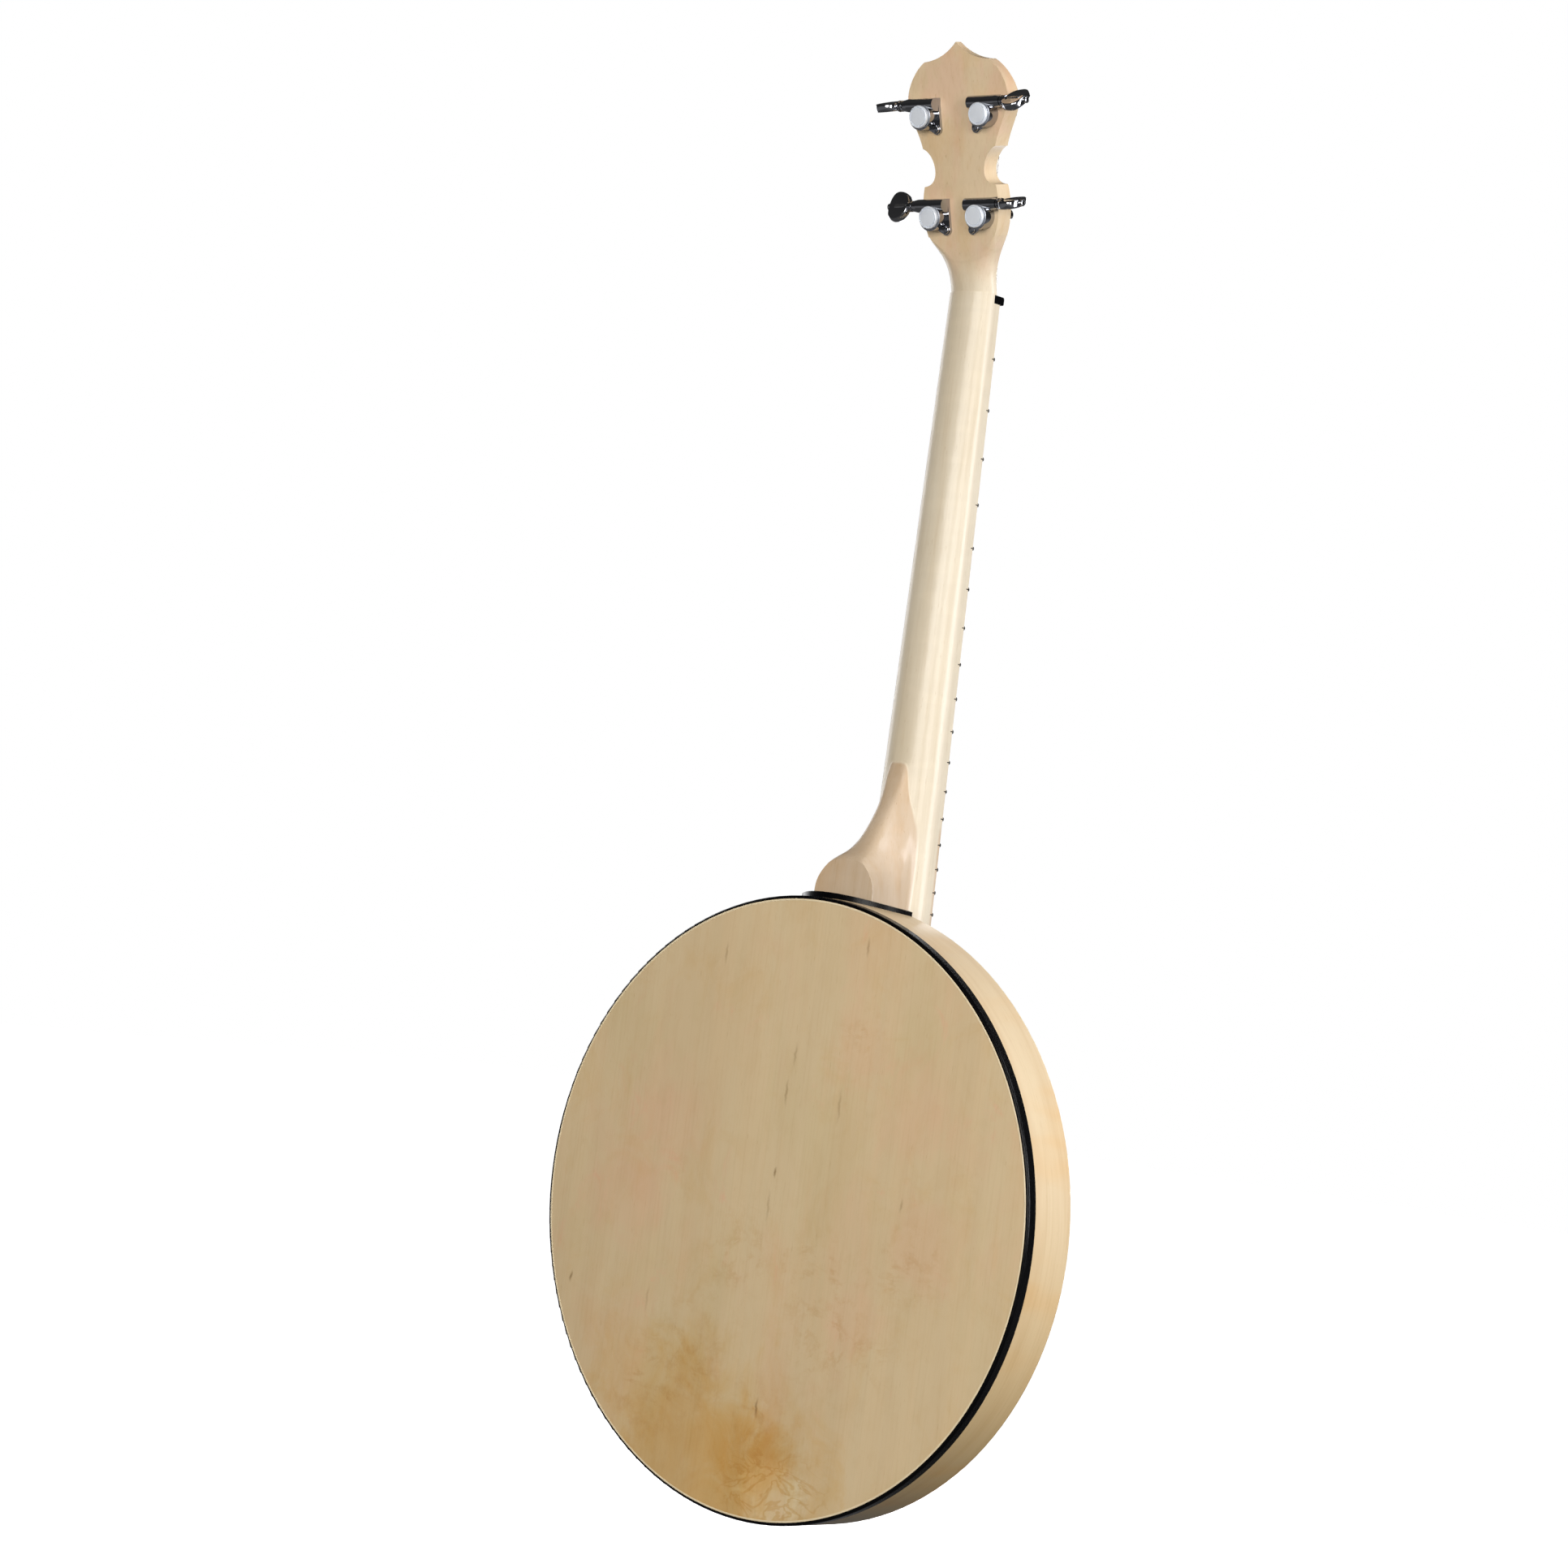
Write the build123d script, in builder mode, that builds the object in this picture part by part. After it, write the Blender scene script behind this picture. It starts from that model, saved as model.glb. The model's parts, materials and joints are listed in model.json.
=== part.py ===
from build123d import *
import math
import os

# Four-string, 17-fret tenor banjo with a closed-back resonator, millimetres.
# Origin: the pot's axis on the outer face of the resonator's back. +Z runs up the neck,
# -Y faces the player's audience (head, strings, fingerboard), +Y is the back.
# Every sub-part is one STEP file in parts/.

os.makedirs("parts", exist_ok=True)

# ---------------------------------------------------------------- driving dimensions
SCALE_LENGTH = 527.05
FRETS = 17
NUT_Z = 491.4

FINGERBOARD_Y = -75.6
FINGERBOARD_THICKNESS = 5.0
FINGERBOARD_END_Z = 150.0
NECK_HALF_WIDTH_AT_NUT = 14.5
NECK_WIDENING = 0.0133
NECK_DEPTH_AT_NUT = 10.0
NECK_DEEPENING = 0.0226

RESONATOR_RADIUS = 163.4
RESONATOR_DEPTH = 35.9
WALL_THICKNESS = 7.0
BACK_THICKNESS = 6.0
BINDING_WIDTH = 1.7
NOTCH_RADIUS = 41.0
NOTCH_CENTRE_Y = -52.9
TRIM_WIDTH = 2.4
TRIM_PROUD = 3.2
TRIM_SHIFT = 4.5

RIM_RADIUS = 139.3
RIM_WALL = 16.0
RIM_BACK_Y = -14.0
HEAD_Y = -62.2
FILM = 0.3
HOOP_OUTER = 143.6
HOOP_FRONT_Y = -60.3
HOOP_BACK_Y = -52.0
HOOK_COUNT = 16
HOOK_RADIUS = 1.8
HOOK_CIRCLE = 145.65
HOOK_BEND = 2.1
HOOK_END_Y = -17.5
CLAW_REACH = 141.0
SHOE_Y = -27.0
SHOE_HEIGHT = 15.0
BRACKET_Y = -35.0
BRACKET_BOLT_HOLE = 2.5
HOOK_NUT_Y = -18.5
HOOK_NUT_HEIGHT = 8.5
ROD_Y = -36.0
ROD_RADIUS = 5.0
ROD_BORE = 3.0
ROD_BORE_DEPTH = 14.0
ROD_END = 115.0
ROD_HOLE = 3.1
ROD_BOLT = 2.95
NUT_ACROSS = 5.6
LUG_ANGLES = (45, 135, 225, 315)
LUG_CIRCLE = 148.0
LUG_HEIGHT = 7.9
STRAP_SCREW_Y = -23.0
STRAP_THICKNESS = 1.6
STRAP_BACK_Y = -14.0

HEEL_CAP_Y = -22.4

PEGHEAD_PITCH = 14.0
PEGHEAD_THICKNESS = 10.8
PEGHEAD_BACK_Y = -62.2
PEGHEAD_LENGTH = 136.9
PEGHEAD_START = 34.0
CROWN_START = 103.0
CROWN_THICKNESS = 4.6
NUT_THICKNESS = 4.5
NUT_FRONT_Y = -78.9

BRIDGE_TOP_Y = -79.2
STRING_RADII = (0.38, 0.27, 0.19, 0.15)
STRING_SPACING_NUT = 6.8
STRING_SPACING_BRIDGE = 10.5

GEAR_TEETH = 14
WORM_PITCH = 1.885
WORM_OFFSET = 6.2
WORM_HEIGHT = 4.4
BUSHING_RADIUS = 4.0
EAR_INWARD = 6.7
EAR_DOWN = 7.0

# Name, position across and up the peghead from the nut, outward side, and how far the button
# is turned at rest: at 0 its flat face looks out of the back, at 90 along the neck.
TUNERS = (
    ("bass_lower", -15.7, 44.7, -1, 82.0),
    ("bass_upper", -20.1, 98.3, -1, 62.0),
    ("treble_upper", 20.1, 98.3, 1, 84.0),
    ("treble_lower", 15.7, 44.7, 1, 28.0),
)

# ---------------------------------------------------------------- derived dimensions
NECK_TOP_Y = FINGERBOARD_Y + FINGERBOARD_THICKNESS
BRIDGE_Z = NUT_Z - SCALE_LENGTH
RIM_INNER = RIM_RADIUS - RIM_WALL
RIM_FRONT_Y = HEAD_Y + FILM
WALL_INNER = RESONATOR_RADIUS - WALL_THICKNESS
HOOK_ANGLES = [360 / HOOK_COUNT * (i + 0.5) for i in range(HOOK_COUNT)]
HOOK_CLAW_Y = HOOP_FRONT_Y + HOOK_RADIUS
NUT_BACK_Z = NUT_Z + NUT_THICKNESS
BASE = (Align.CENTER, Align.CENTER, Align.MIN)
PITCH_SIN = math.sin(math.radians(PEGHEAD_PITCH))
PITCH_COS = math.cos(math.radians(PEGHEAD_PITCH))
# How far a cubic's handles reach towards the corner to draw a quarter ellipse.
ROUND = 0.5523

# Local axes of the peghead's back face: x across, y towards the tip, z through to the front.
PEGHEAD = Plane(
    origin=(0, PEGHEAD_BACK_Y, NUT_Z), x_dir=(1, 0, 0), z_dir=(0, -PITCH_COS, PITCH_SIN)
)


def save(builder, name):
    builder.part.label = name
    export_step(builder.part, f"parts/{name}.step")


def front_plane(x, y, z):
    """Local x is +X, local y is +Z, and local z points to the front, -Y."""
    return Plane(origin=(x, y, z), x_dir=(1, 0, 0), z_dir=(0, -1, 0))


def up_plane(y, z):
    """A plane across the instrument at height z, centred on the line (0, y)."""
    return Plane(origin=(0, y, z), x_dir=(1, 0, 0), z_dir=(0, 0, 1))


def out_plane(angle, radius, y):
    """Local z points out from the pot's axis, at an angle measured from +Z towards +X."""
    a = math.radians(angle)
    return Plane(
        origin=(radius * math.sin(a), y, radius * math.cos(a)),
        x_dir=(math.cos(a), 0, -math.sin(a)),
        z_dir=(math.sin(a), 0, math.cos(a)),
    )


def ring(inner, outer, back_y, front_y):
    """A plain ring about the pot's axis."""
    with BuildPart() as made:
        with BuildSketch(front_plane(0, back_y, 0)):
            Circle(outer)
            Circle(inner, mode=Mode.SUBTRACT)
        extrude(amount=back_y - front_y)
    return made.part


def disc(radius, back_y, front_y):
    """A plain disc about the pot's axis."""
    with BuildPart() as made:
        with BuildSketch(front_plane(0, back_y, 0)):
            Circle(radius)
        extrude(amount=back_y - front_y)
    return made.part


def neck_half_width(z):
    return NECK_HALF_WIDTH_AT_NUT + NECK_WIDENING * (NUT_Z - z)


def neck_depth(z):
    return NECK_DEPTH_AT_NUT + NECK_DEEPENING * (NUT_Z - z)


def fret_z(number):
    return NUT_Z - SCALE_LENGTH * (1 - 2 ** (-number / 12))


def rod_between(start, end, radius):
    """A round bar from one point to another."""
    run = Vector(*end) - Vector(*start)
    with BuildPart() as made:
        with BuildSketch(Plane(origin=start, z_dir=run.normalized())):
            Circle(radius)
        extrude(amount=run.length)
    return made.part


# ================================================================ pot
with BuildPart() as rim:
    add(ring(RIM_INNER, RIM_RADIUS, RIM_BACK_Y, RIM_FRONT_Y))
    fillet(rim.edges().filter_by(GeomType.CIRCLE).sort_by(Axis.Y)[:2], 1.5)
    for angle in HOOK_ANGLES:
        with Locations(out_plane(angle, RIM_INNER - 2, BRACKET_Y)):
            Cylinder(BRACKET_BOLT_HOLE, RIM_WALL + 4, align=BASE, mode=Mode.SUBTRACT)
    for angle in (0, 180):
        with Locations(out_plane(angle, RIM_INNER - 2, ROD_Y)):
            Cylinder(ROD_HOLE, RIM_WALL + 4, align=BASE, mode=Mode.SUBTRACT)
    for angle in LUG_ANGLES:
        with Locations(out_plane(angle, RIM_RADIUS - 12, STRAP_SCREW_Y)):
            Cylinder(1.8, 14, align=BASE, mode=Mode.SUBTRACT)
save(rim, "rim")

with BuildPart() as head_film:
    collar = RIM_RADIUS + 0.35
    collar_y = HOOP_BACK_Y + 2.1
    with BuildSketch(Plane.XY):
        with BuildLine():
            Polyline(
                (0, HEAD_Y),
                (collar, HEAD_Y),
                (collar, collar_y),
                (collar - FILM, collar_y),
                (collar - FILM, HEAD_Y + FILM),
                (0, HEAD_Y + FILM),
                close=True,
            )
        make_face()
    revolve(axis=Axis.Y)
save(head_film, "head_film")

with BuildPart() as flesh_hoop:
    add(ring(RIM_RADIUS + 0.4, HOOP_OUTER - 0.5, HOOP_BACK_Y + 2.6, HOOP_BACK_Y))
save(flesh_hoop, "flesh_hoop")

with BuildPart() as tension_hoop:
    add(ring(RIM_RADIUS + 0.5, HOOP_OUTER, HOOP_BACK_Y, HOOP_FRONT_Y))
    fillet(tension_hoop.edges().filter_by(GeomType.CIRCLE).sort_by(Axis.Y)[:2], 0.8)
    notch_depth = 2 * HOOK_RADIUS + 0.05
    for angle in HOOK_ANGLES:
        with Locations(out_plane(angle, HOOP_OUTER - 2, HOOP_FRONT_Y + notch_depth / 2)):
            Box(6, notch_depth, 8, mode=Mode.SUBTRACT)
save(tension_hoop, "tension_hoop")


def hook_shape():
    """One J-hook at the top of the pot: a threaded shank whose claw lies over the hoop."""
    with BuildPart() as made:
        with BuildLine(Plane.YZ) as route:
            FilletPolyline(
                (HOOK_END_Y, HOOK_CIRCLE),
                (HOOK_CLAW_Y, HOOK_CIRCLE),
                (HOOK_CLAW_Y, CLAW_REACH),
                radius=HOOK_BEND,
            )
        with BuildSketch(front_plane(0, HOOK_END_Y, HOOK_CIRCLE)):
            Circle(HOOK_RADIUS)
        sweep(path=route.line)
    return made.part


def shoe_shape():
    """One bracket shoe: a foot on the rim and an eye round the hook's shank."""
    with BuildPart() as made:
        with BuildSketch(front_plane(0, SHOE_Y, 0)):
            with Locations((0, RIM_RADIUS + 2.2)):
                Rectangle(13, 6)
            with Locations((0, RIM_RADIUS + 4.5)):
                Rectangle(8, 5)
            with Locations((0, HOOK_CIRCLE)):
                Circle(4.4)
                Circle(HOOK_RADIUS + 0.25, mode=Mode.SUBTRACT)
            Circle(RIM_RADIUS + 0.05, mode=Mode.SUBTRACT)
        extrude(amount=SHOE_HEIGHT)
        with Locations(out_plane(0, RIM_RADIUS - 2, BRACKET_Y)):
            Cylinder(BRACKET_BOLT_HOLE, 6, align=BASE, mode=Mode.SUBTRACT)
    return made.part


def bolt_shape():
    """One bracket bolt, headed inside the rim and threaded into its shoe."""
    with BuildPart() as made:
        with Locations(out_plane(0, RIM_INNER - 3, BRACKET_Y)):
            Cylinder(4.4, 2.8, align=BASE)
        with Locations(out_plane(0, RIM_INNER - 0.2, BRACKET_Y)):
            Cylinder(BRACKET_BOLT_HOLE - 0.05, RIM_WALL + 3.9, align=BASE)
    return made.part


hook = hook_shape()
with BuildPart() as tension_hooks:
    for angle in HOOK_ANGLES:
        add(hook.rotate(Axis.Y, angle))
save(tension_hooks, "tension_hooks")

shoe = shoe_shape()
with BuildPart() as bracket_shoes:
    for angle in HOOK_ANGLES:
        add(shoe.rotate(Axis.Y, angle))
save(bracket_shoes, "bracket_shoes")

bolt = bolt_shape()
with BuildPart() as bracket_bolts:
    for angle in HOOK_ANGLES:
        add(bolt.rotate(Axis.Y, angle))
save(bracket_bolts, "bracket_bolts")

with BuildPart() as hook_nuts:
    for angle in HOOK_ANGLES:
        a = math.radians(angle)
        x = HOOK_CIRCLE * math.sin(a)
        z = HOOK_CIRCLE * math.cos(a)
        with BuildSketch(front_plane(x, HOOK_NUT_Y, z)):
            RegularPolygon(3.9, 6)
            Circle(HOOK_RADIUS + 0.04, mode=Mode.SUBTRACT)
        extrude(amount=HOOK_NUT_HEIGHT)
save(hook_nuts, "hook_nuts")

# The coordinator rod ties the heel to the tail of the rim.
with BuildPart() as coordinator_rod:
    with Locations(up_plane(ROD_Y, -ROD_END)):
        Cylinder(ROD_RADIUS, 2 * ROD_END, align=BASE)
    for start in (-ROD_END, ROD_END - ROD_BORE_DEPTH):
        with Locations(up_plane(ROD_Y, start)):
            Cylinder(ROD_BORE, ROD_BORE_DEPTH, align=BASE, mode=Mode.SUBTRACT)
save(coordinator_rod, "coordinator_rod")

with BuildPart() as rod_nuts:
    for start, height in ((ROD_END + 1, 5.5), (-ROD_END - 6.5, 5.5), (-153.0, 4.4)):
        with BuildSketch(up_plane(ROD_Y, start)):
            RegularPolygon(NUT_ACROSS, 6)
            Circle(ROD_BORE, mode=Mode.SUBTRACT)
        extrude(amount=height)
save(rod_nuts, "rod_nuts")

with BuildPart() as neck_bolt:
    with Locations(up_plane(ROD_Y, ROD_END - 13)):
        Cylinder(ROD_BOLT, 74, align=BASE)
save(neck_bolt, "neck_bolt")

# ================================================================ resonator
binding_inner = RESONATOR_RADIUS - BINDING_WIDTH
with BuildPart() as resonator_back:
    with Locations(front_plane(0, 0, 0)):
        Cylinder(binding_inner, BACK_THICKNESS, align=BASE)
save(resonator_back, "resonator_back")

with BuildPart() as resonator_binding:
    add(ring(binding_inner, RESONATOR_RADIUS, 0, -BACK_THICKNESS))
    outer_edge = resonator_binding.edges().filter_by(GeomType.CIRCLE).group_by(Axis.Y)[-1]
    fillet(outer_edge.sort_by(SortBy.RADIUS)[-1], 1.3)
save(resonator_binding, "resonator_binding")

with BuildPart() as resonator_wall:
    add(ring(WALL_INNER, RESONATOR_RADIUS, -BACK_THICKNESS, -RESONATOR_DEPTH))
    fillet(resonator_wall.edges().filter_by(GeomType.CIRCLE).group_by(Axis.Y)[0], 1.0)
    with BuildSketch(up_plane(NOTCH_CENTRE_Y, WALL_INNER - 12)):
        Circle(NOTCH_RADIUS)
    extrude(amount=24, mode=Mode.SUBTRACT)
save(resonator_wall, "resonator_wall")

with BuildPart() as notch_trim:
    with BuildSketch(up_plane(NOTCH_CENTRE_Y, WALL_INNER - 12)):
        Circle(NOTCH_RADIUS)
        Circle(NOTCH_RADIUS - TRIM_WIDTH, mode=Mode.SUBTRACT)
        with Locations((0, -NOTCH_CENTRE_Y - RESONATOR_DEPTH + 20)):
            Rectangle(100, 40, mode=Mode.INTERSECT)
    extrude(amount=24)
    add(ring(WALL_INNER, RESONATOR_RADIUS + 12, 0, -RESONATOR_DEPTH), mode=Mode.INTERSECT)
    # The trim stands a little prouder on the treble side.
    with BuildSketch(front_plane(TRIM_SHIFT, 0, 0)):
        Circle(RESONATOR_RADIUS + TRIM_PROUD)
    extrude(amount=RESONATOR_DEPTH, mode=Mode.INTERSECT)
save(notch_trim, "notch_trim")


def lug_shape():
    """One maple block glued inside the resonator, tapped for a thumb screw."""
    with BuildPart() as made:
        with Locations((0, -BACK_THICKNESS, LUG_CIRCLE + 1)):
            Box(20, LUG_HEIGHT, 20, align=(Align.CENTER, Align.MAX, Align.CENTER))
        add(ring(RIM_RADIUS + 3, WALL_INNER, 0, -RESONATOR_DEPTH), mode=Mode.INTERSECT)
        with Locations(front_plane(0, -7, LUG_CIRCLE)):
            Cylinder(2.45, 12, align=BASE, mode=Mode.SUBTRACT)
    return made.part


def strap_shape():
    """One L-bracket: its leg is screwed to the rim and its foot rests on a lug."""
    with BuildPart() as made:
        with Locations((0, STRAP_BACK_Y, LUG_CIRCLE)):
            Box(13, 18, 30, align=(Align.CENTER, Align.MAX, Align.CENTER))
        add(ring(RIM_RADIUS + 0.1, LUG_CIRCLE + 5.5, STRAP_BACK_Y, -32), mode=Mode.INTERSECT)
        inside = RIM_RADIUS + 0.1 + STRAP_THICKNESS
        add(ring(inside, LUG_CIRCLE + 12, STRAP_BACK_Y - 1.5, -40), mode=Mode.SUBTRACT)
        with Locations(front_plane(0, -13, LUG_CIRCLE)):
            Cylinder(2.6, 4, align=BASE, mode=Mode.SUBTRACT)
        with Locations(out_plane(0, RIM_RADIUS - 1, STRAP_SCREW_Y)):
            Cylinder(1.9, 6, align=BASE, mode=Mode.SUBTRACT)
    return made.part


def thumb_screw_shape():
    """One thumb screw, turned from the front through the gap beside the rim."""
    with BuildPart() as made:
        with Locations(front_plane(0, -7.5, LUG_CIRCLE)):
            Cylinder(2.4, 8.1, align=BASE)
        with BuildSketch(front_plane(0, -15.55, LUG_CIRCLE)):
            Circle(5.2)
            with PolarLocations(5.4, 16):
                Circle(0.5, mode=Mode.SUBTRACT)
        extrude(amount=5)
    return made.part


def strap_screw_shape():
    """One wood screw holding a bracket's leg to the rim."""
    with BuildPart() as made:
        with Locations(out_plane(0, RIM_RADIUS - 11, STRAP_SCREW_Y)):
            Cylinder(1.75, 13, align=BASE)
        with Locations(out_plane(0, RIM_RADIUS + 1.75, STRAP_SCREW_Y)):
            Cylinder(3.2, 1.6, align=BASE)
    return made.part


lug = lug_shape()
with BuildPart() as resonator_lugs:
    for angle in LUG_ANGLES:
        add(lug.rotate(Axis.Y, angle))
save(resonator_lugs, "resonator_lugs")

strap = strap_shape()
with BuildPart() as resonator_brackets:
    for angle in LUG_ANGLES:
        add(strap.rotate(Axis.Y, angle))
save(resonator_brackets, "resonator_brackets")

thumb_screw = thumb_screw_shape()
with BuildPart() as thumb_screws:
    for angle in LUG_ANGLES:
        add(thumb_screw.rotate(Axis.Y, angle))
save(thumb_screws, "thumb_screws")

strap_screw = strap_screw_shape()
with BuildPart() as bracket_screws:
    for angle in LUG_ANGLES:
        add(strap_screw.rotate(Axis.Y, angle))
save(bracket_screws, "bracket_screws")


# ================================================================ neck
def shaft():
    """The neck's rounded back, from inside the pot to just behind the nut."""
    with BuildPart() as made:
        for z in (120, NUT_Z + 5):
            with BuildSketch(up_plane(NECK_TOP_Y, z)):
                Ellipse(neck_half_width(z), neck_depth(z))
                with Locations((0, 40)):
                    Rectangle(120, 80, mode=Mode.INTERSECT)
        loft(ruled=True)
    return made.part


def heel():
    """The heel: arches that narrow to a rounded point as they run from the cap up the neck."""
    # Place from front to back, half width, where the sides stop, top, fullness of the arch.
    arches = (
        (HEEL_CAP_Y, 19.9, 163.0, 184.8, 2.6),
        (-30.0, 18.1, 162.0, 190.9, 2.2),
        (-38.0, 16.7, 161.0, 199.7, 1.85),
        (-45.0, 15.8, 160.0, 211.6, 1.73),
        (-50.0, 15.5, 160.0, 222.3, 1.73),
        (-53.0, 15.2, 160.0, 233.0, 1.75),
        (-55.2, 15.1, 161.0, 242.0, 1.83),
        (-57.6, 15.0, 162.0, 249.0, 2.0),
        (-59.8, 15.3, 163.0, 256.3, 2.3),
        (-62.0, 16.0, 164.0, 263.3, 2.6),
        (-65.0, 17.4, 165.0, 271.8, 2.8),
    )
    with BuildPart() as made:
        for y, half, side, top, fullness in arches:
            with BuildSketch(front_plane(0, y, 0)):
                with BuildLine():
                    Line((-half, 120), (half, 120))
                    for sign in (-1, 1):
                        points = [(sign * half, side)]
                        for t in (0.5, 0.85):
                            width = half * (1 - t**fullness) ** (1 / fullness)
                            points.append((sign * width, side + t * (top - side)))
                        points.append((0, top))
                        Line((sign * half, 120), points[0])
                        Spline(*points, tangents=((0, 1), (-sign, 0)))
                make_face()
        loft()
    return made.part


def peghead_root():
    """The stretch where the round neck becomes the flat peghead."""
    # Distance from the nut, half width, how much of the width and of the depth the corner takes.
    sections = (
        (-3.0, 14.3, 0.97, 0.97),
        (8.0, 14.3, 0.97, 0.97),
        (17.0, 15.3, 0.8, 0.85),
        (25.0, 18.0, 0.45, 0.55),
        (31.0, 21.0, 0.12, 0.2),
        (36.0, 23.1, 0.02, 0.04),
    )
    with BuildPart() as made:
        for s, half, across, deep in sections:
            origin = PEGHEAD.from_local_coords((0, s, PEGHEAD_THICKNESS))
            flat = half * (1 - across)
            side = PEGHEAD_THICKNESS * (1 - deep)
            with BuildSketch(Plane(origin=origin, x_dir=(1, 0, 0), z_dir=(0, PITCH_SIN, PITCH_COS))):
                with BuildLine():
                    Line((-half, 0), (half, 0))
                    Line((-flat, PEGHEAD_THICKNESS), (flat, PEGHEAD_THICKNESS))
                    for sign in (-1, 1):
                        Line((sign * half, 0), (sign * half, side))
                        Bezier(
                            (sign * half, side),
                            (sign * half, side + ROUND * (PEGHEAD_THICKNESS - side)),
                            (sign * (flat + ROUND * (half - flat)), PEGHEAD_THICKNESS),
                            (sign * flat, PEGHEAD_THICKNESS),
                        )
                make_face()
        loft()
    return made.part


def peghead_slab():
    """The peghead's outline: two lobes with a waist, and a crown that rises to a point."""
    with BuildPart() as made:
        with BuildSketch(PEGHEAD):
            with BuildLine():
                Line((-22.6, PEGHEAD_START), (22.6, PEGHEAD_START))
                for sign in (-1, 1):
                    Spline((sign * 22.6, PEGHEAD_START), (sign * 25.4, 45.0), (sign * 24.2, 61.0))
                    Spline(
                        (sign * 24.2, 61.0),
                        (sign * 17.2, 65.3),
                        (sign * 17.4, 73.2),
                        (sign * 24.6, 81.2),
                    )
                    Spline(
                        (sign * 24.6, 81.2),
                        (sign * 29.8, 94.0),
                        (sign * 33.8, 107.0),
                        (sign * 30.6, 117.8),
                        (sign * 21.8, 127.1),
                    )
                    Spline(
                        (sign * 21.8, 127.1),
                        (sign * 11.0, 129.4),
                        (sign * 4.4, 133.0),
                        (0, PEGHEAD_LENGTH),
                    )
            make_face()
        extrude(amount=PEGHEAD_THICKNESS)
        # The crown is thinned from the front.
        side = Plane(origin=PEGHEAD.origin, x_dir=PEGHEAD.y_dir, z_dir=(1, 0, 0))
        with BuildSketch(side):
            with BuildLine():
                Polyline(
                    (CROWN_START, PEGHEAD_THICKNESS),
                    (PEGHEAD_LENGTH, CROWN_THICKNESS),
                    (PEGHEAD_LENGTH, PEGHEAD_THICKNESS + 1),
                    (CROWN_START, PEGHEAD_THICKNESS + 1),
                    close=True,
                )
            make_face()
        extrude(amount=40, both=True, mode=Mode.SUBTRACT)
    return made.part


with BuildPart() as neck:
    add(shaft())
    add(heel())
    add(peghead_root())
    add(peghead_slab())
    # The nut's seat.
    with Locations((0, NECK_TOP_Y, NUT_BACK_Z)):
        Box(60, 20, 40, align=(Align.CENTER, Align.MAX, Align.MAX), mode=Mode.SUBTRACT)
    # Room for the rim and its hoops.
    add(disc(RIM_RADIUS + 0.1, 20, -90), mode=Mode.SUBTRACT)
    add(disc(HOOP_OUTER + 0.6, HOOP_BACK_Y + 3.5, -68), mode=Mode.SUBTRACT)
    with Locations(up_plane(ROD_Y, 130)):
        Cylinder(ROD_BORE, 47, align=BASE, mode=Mode.SUBTRACT)
    for name, x, s, out, button_turn in TUNERS:
        with Locations(Plane(origin=PEGHEAD.from_local_coords((x, s, -2)), z_dir=PEGHEAD.z_dir)):
            Cylinder(BUSHING_RADIUS + 0.05, PEGHEAD_THICKNESS + 4, align=BASE, mode=Mode.SUBTRACT)
        ear = PEGHEAD.from_local_coords((x - EAR_INWARD * out, s - EAR_DOWN, -1))
        with Locations(Plane(origin=ear, z_dir=PEGHEAD.z_dir)):
            Cylinder(1.22, 9, align=BASE, mode=Mode.SUBTRACT)
save(neck, "neck")

DOT_RADIUS = 2.5
DOT_DEPTH = 1.2
FRET_CROWN = 1.1
FRET_TANG = 1.5
DOT_POSITIONS = ((3, 0), (5, 0), (7, 0), (10, 0), (12, -7), (12, 7), (15, 0))


def dot_place(fret, x):
    middle = (fret_z(fret) + fret_z(fret - 1)) / 2
    return front_plane(x, FINGERBOARD_Y + DOT_DEPTH, middle)


with BuildPart() as fingerboard:
    wide = neck_half_width(FINGERBOARD_END_Z)
    narrow = neck_half_width(NUT_Z)
    with BuildSketch(front_plane(0, NECK_TOP_Y, 0)):
        with BuildLine():
            Polyline(
                (-wide, FINGERBOARD_END_Z),
                (wide, FINGERBOARD_END_Z),
                (narrow, NUT_Z),
                (-narrow, NUT_Z),
                close=True,
            )
        make_face()
    extrude(amount=FINGERBOARD_THICKNESS)
    for number in range(1, FRETS + 1):
        with Locations((0, FINGERBOARD_Y, fret_z(number))):
            Box(60, 2 * FRET_TANG + 0.2, 0.6, mode=Mode.SUBTRACT)
    for fret, x in DOT_POSITIONS:
        with Locations(dot_place(fret, x)):
            Cylinder(DOT_RADIUS, 3, align=BASE, mode=Mode.SUBTRACT)
save(fingerboard, "fingerboard")

with BuildPart() as frets:
    for number in range(1, FRETS + 1):
        z = fret_z(number)
        with BuildSketch(Plane.YZ):
            with BuildLine():
                low = (FINGERBOARD_Y, z - FRET_CROWN)
                high = (FINGERBOARD_Y, z + FRET_CROWN)
                Line(low, high)
                ThreePointArc(low, (FINGERBOARD_Y - FRET_CROWN, z), high)
            make_face()
            with Locations((FINGERBOARD_Y + FRET_TANG / 2, z)):
                Rectangle(FRET_TANG, 0.5)
        extrude(amount=neck_half_width(z), both=True)
save(frets, "frets")

with BuildPart() as position_dots:
    for fret, x in DOT_POSITIONS:
        with Locations(dot_place(fret, x)):
            Cylinder(DOT_RADIUS - 0.02, DOT_DEPTH, align=BASE)
save(position_dots, "position_dots")

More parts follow.
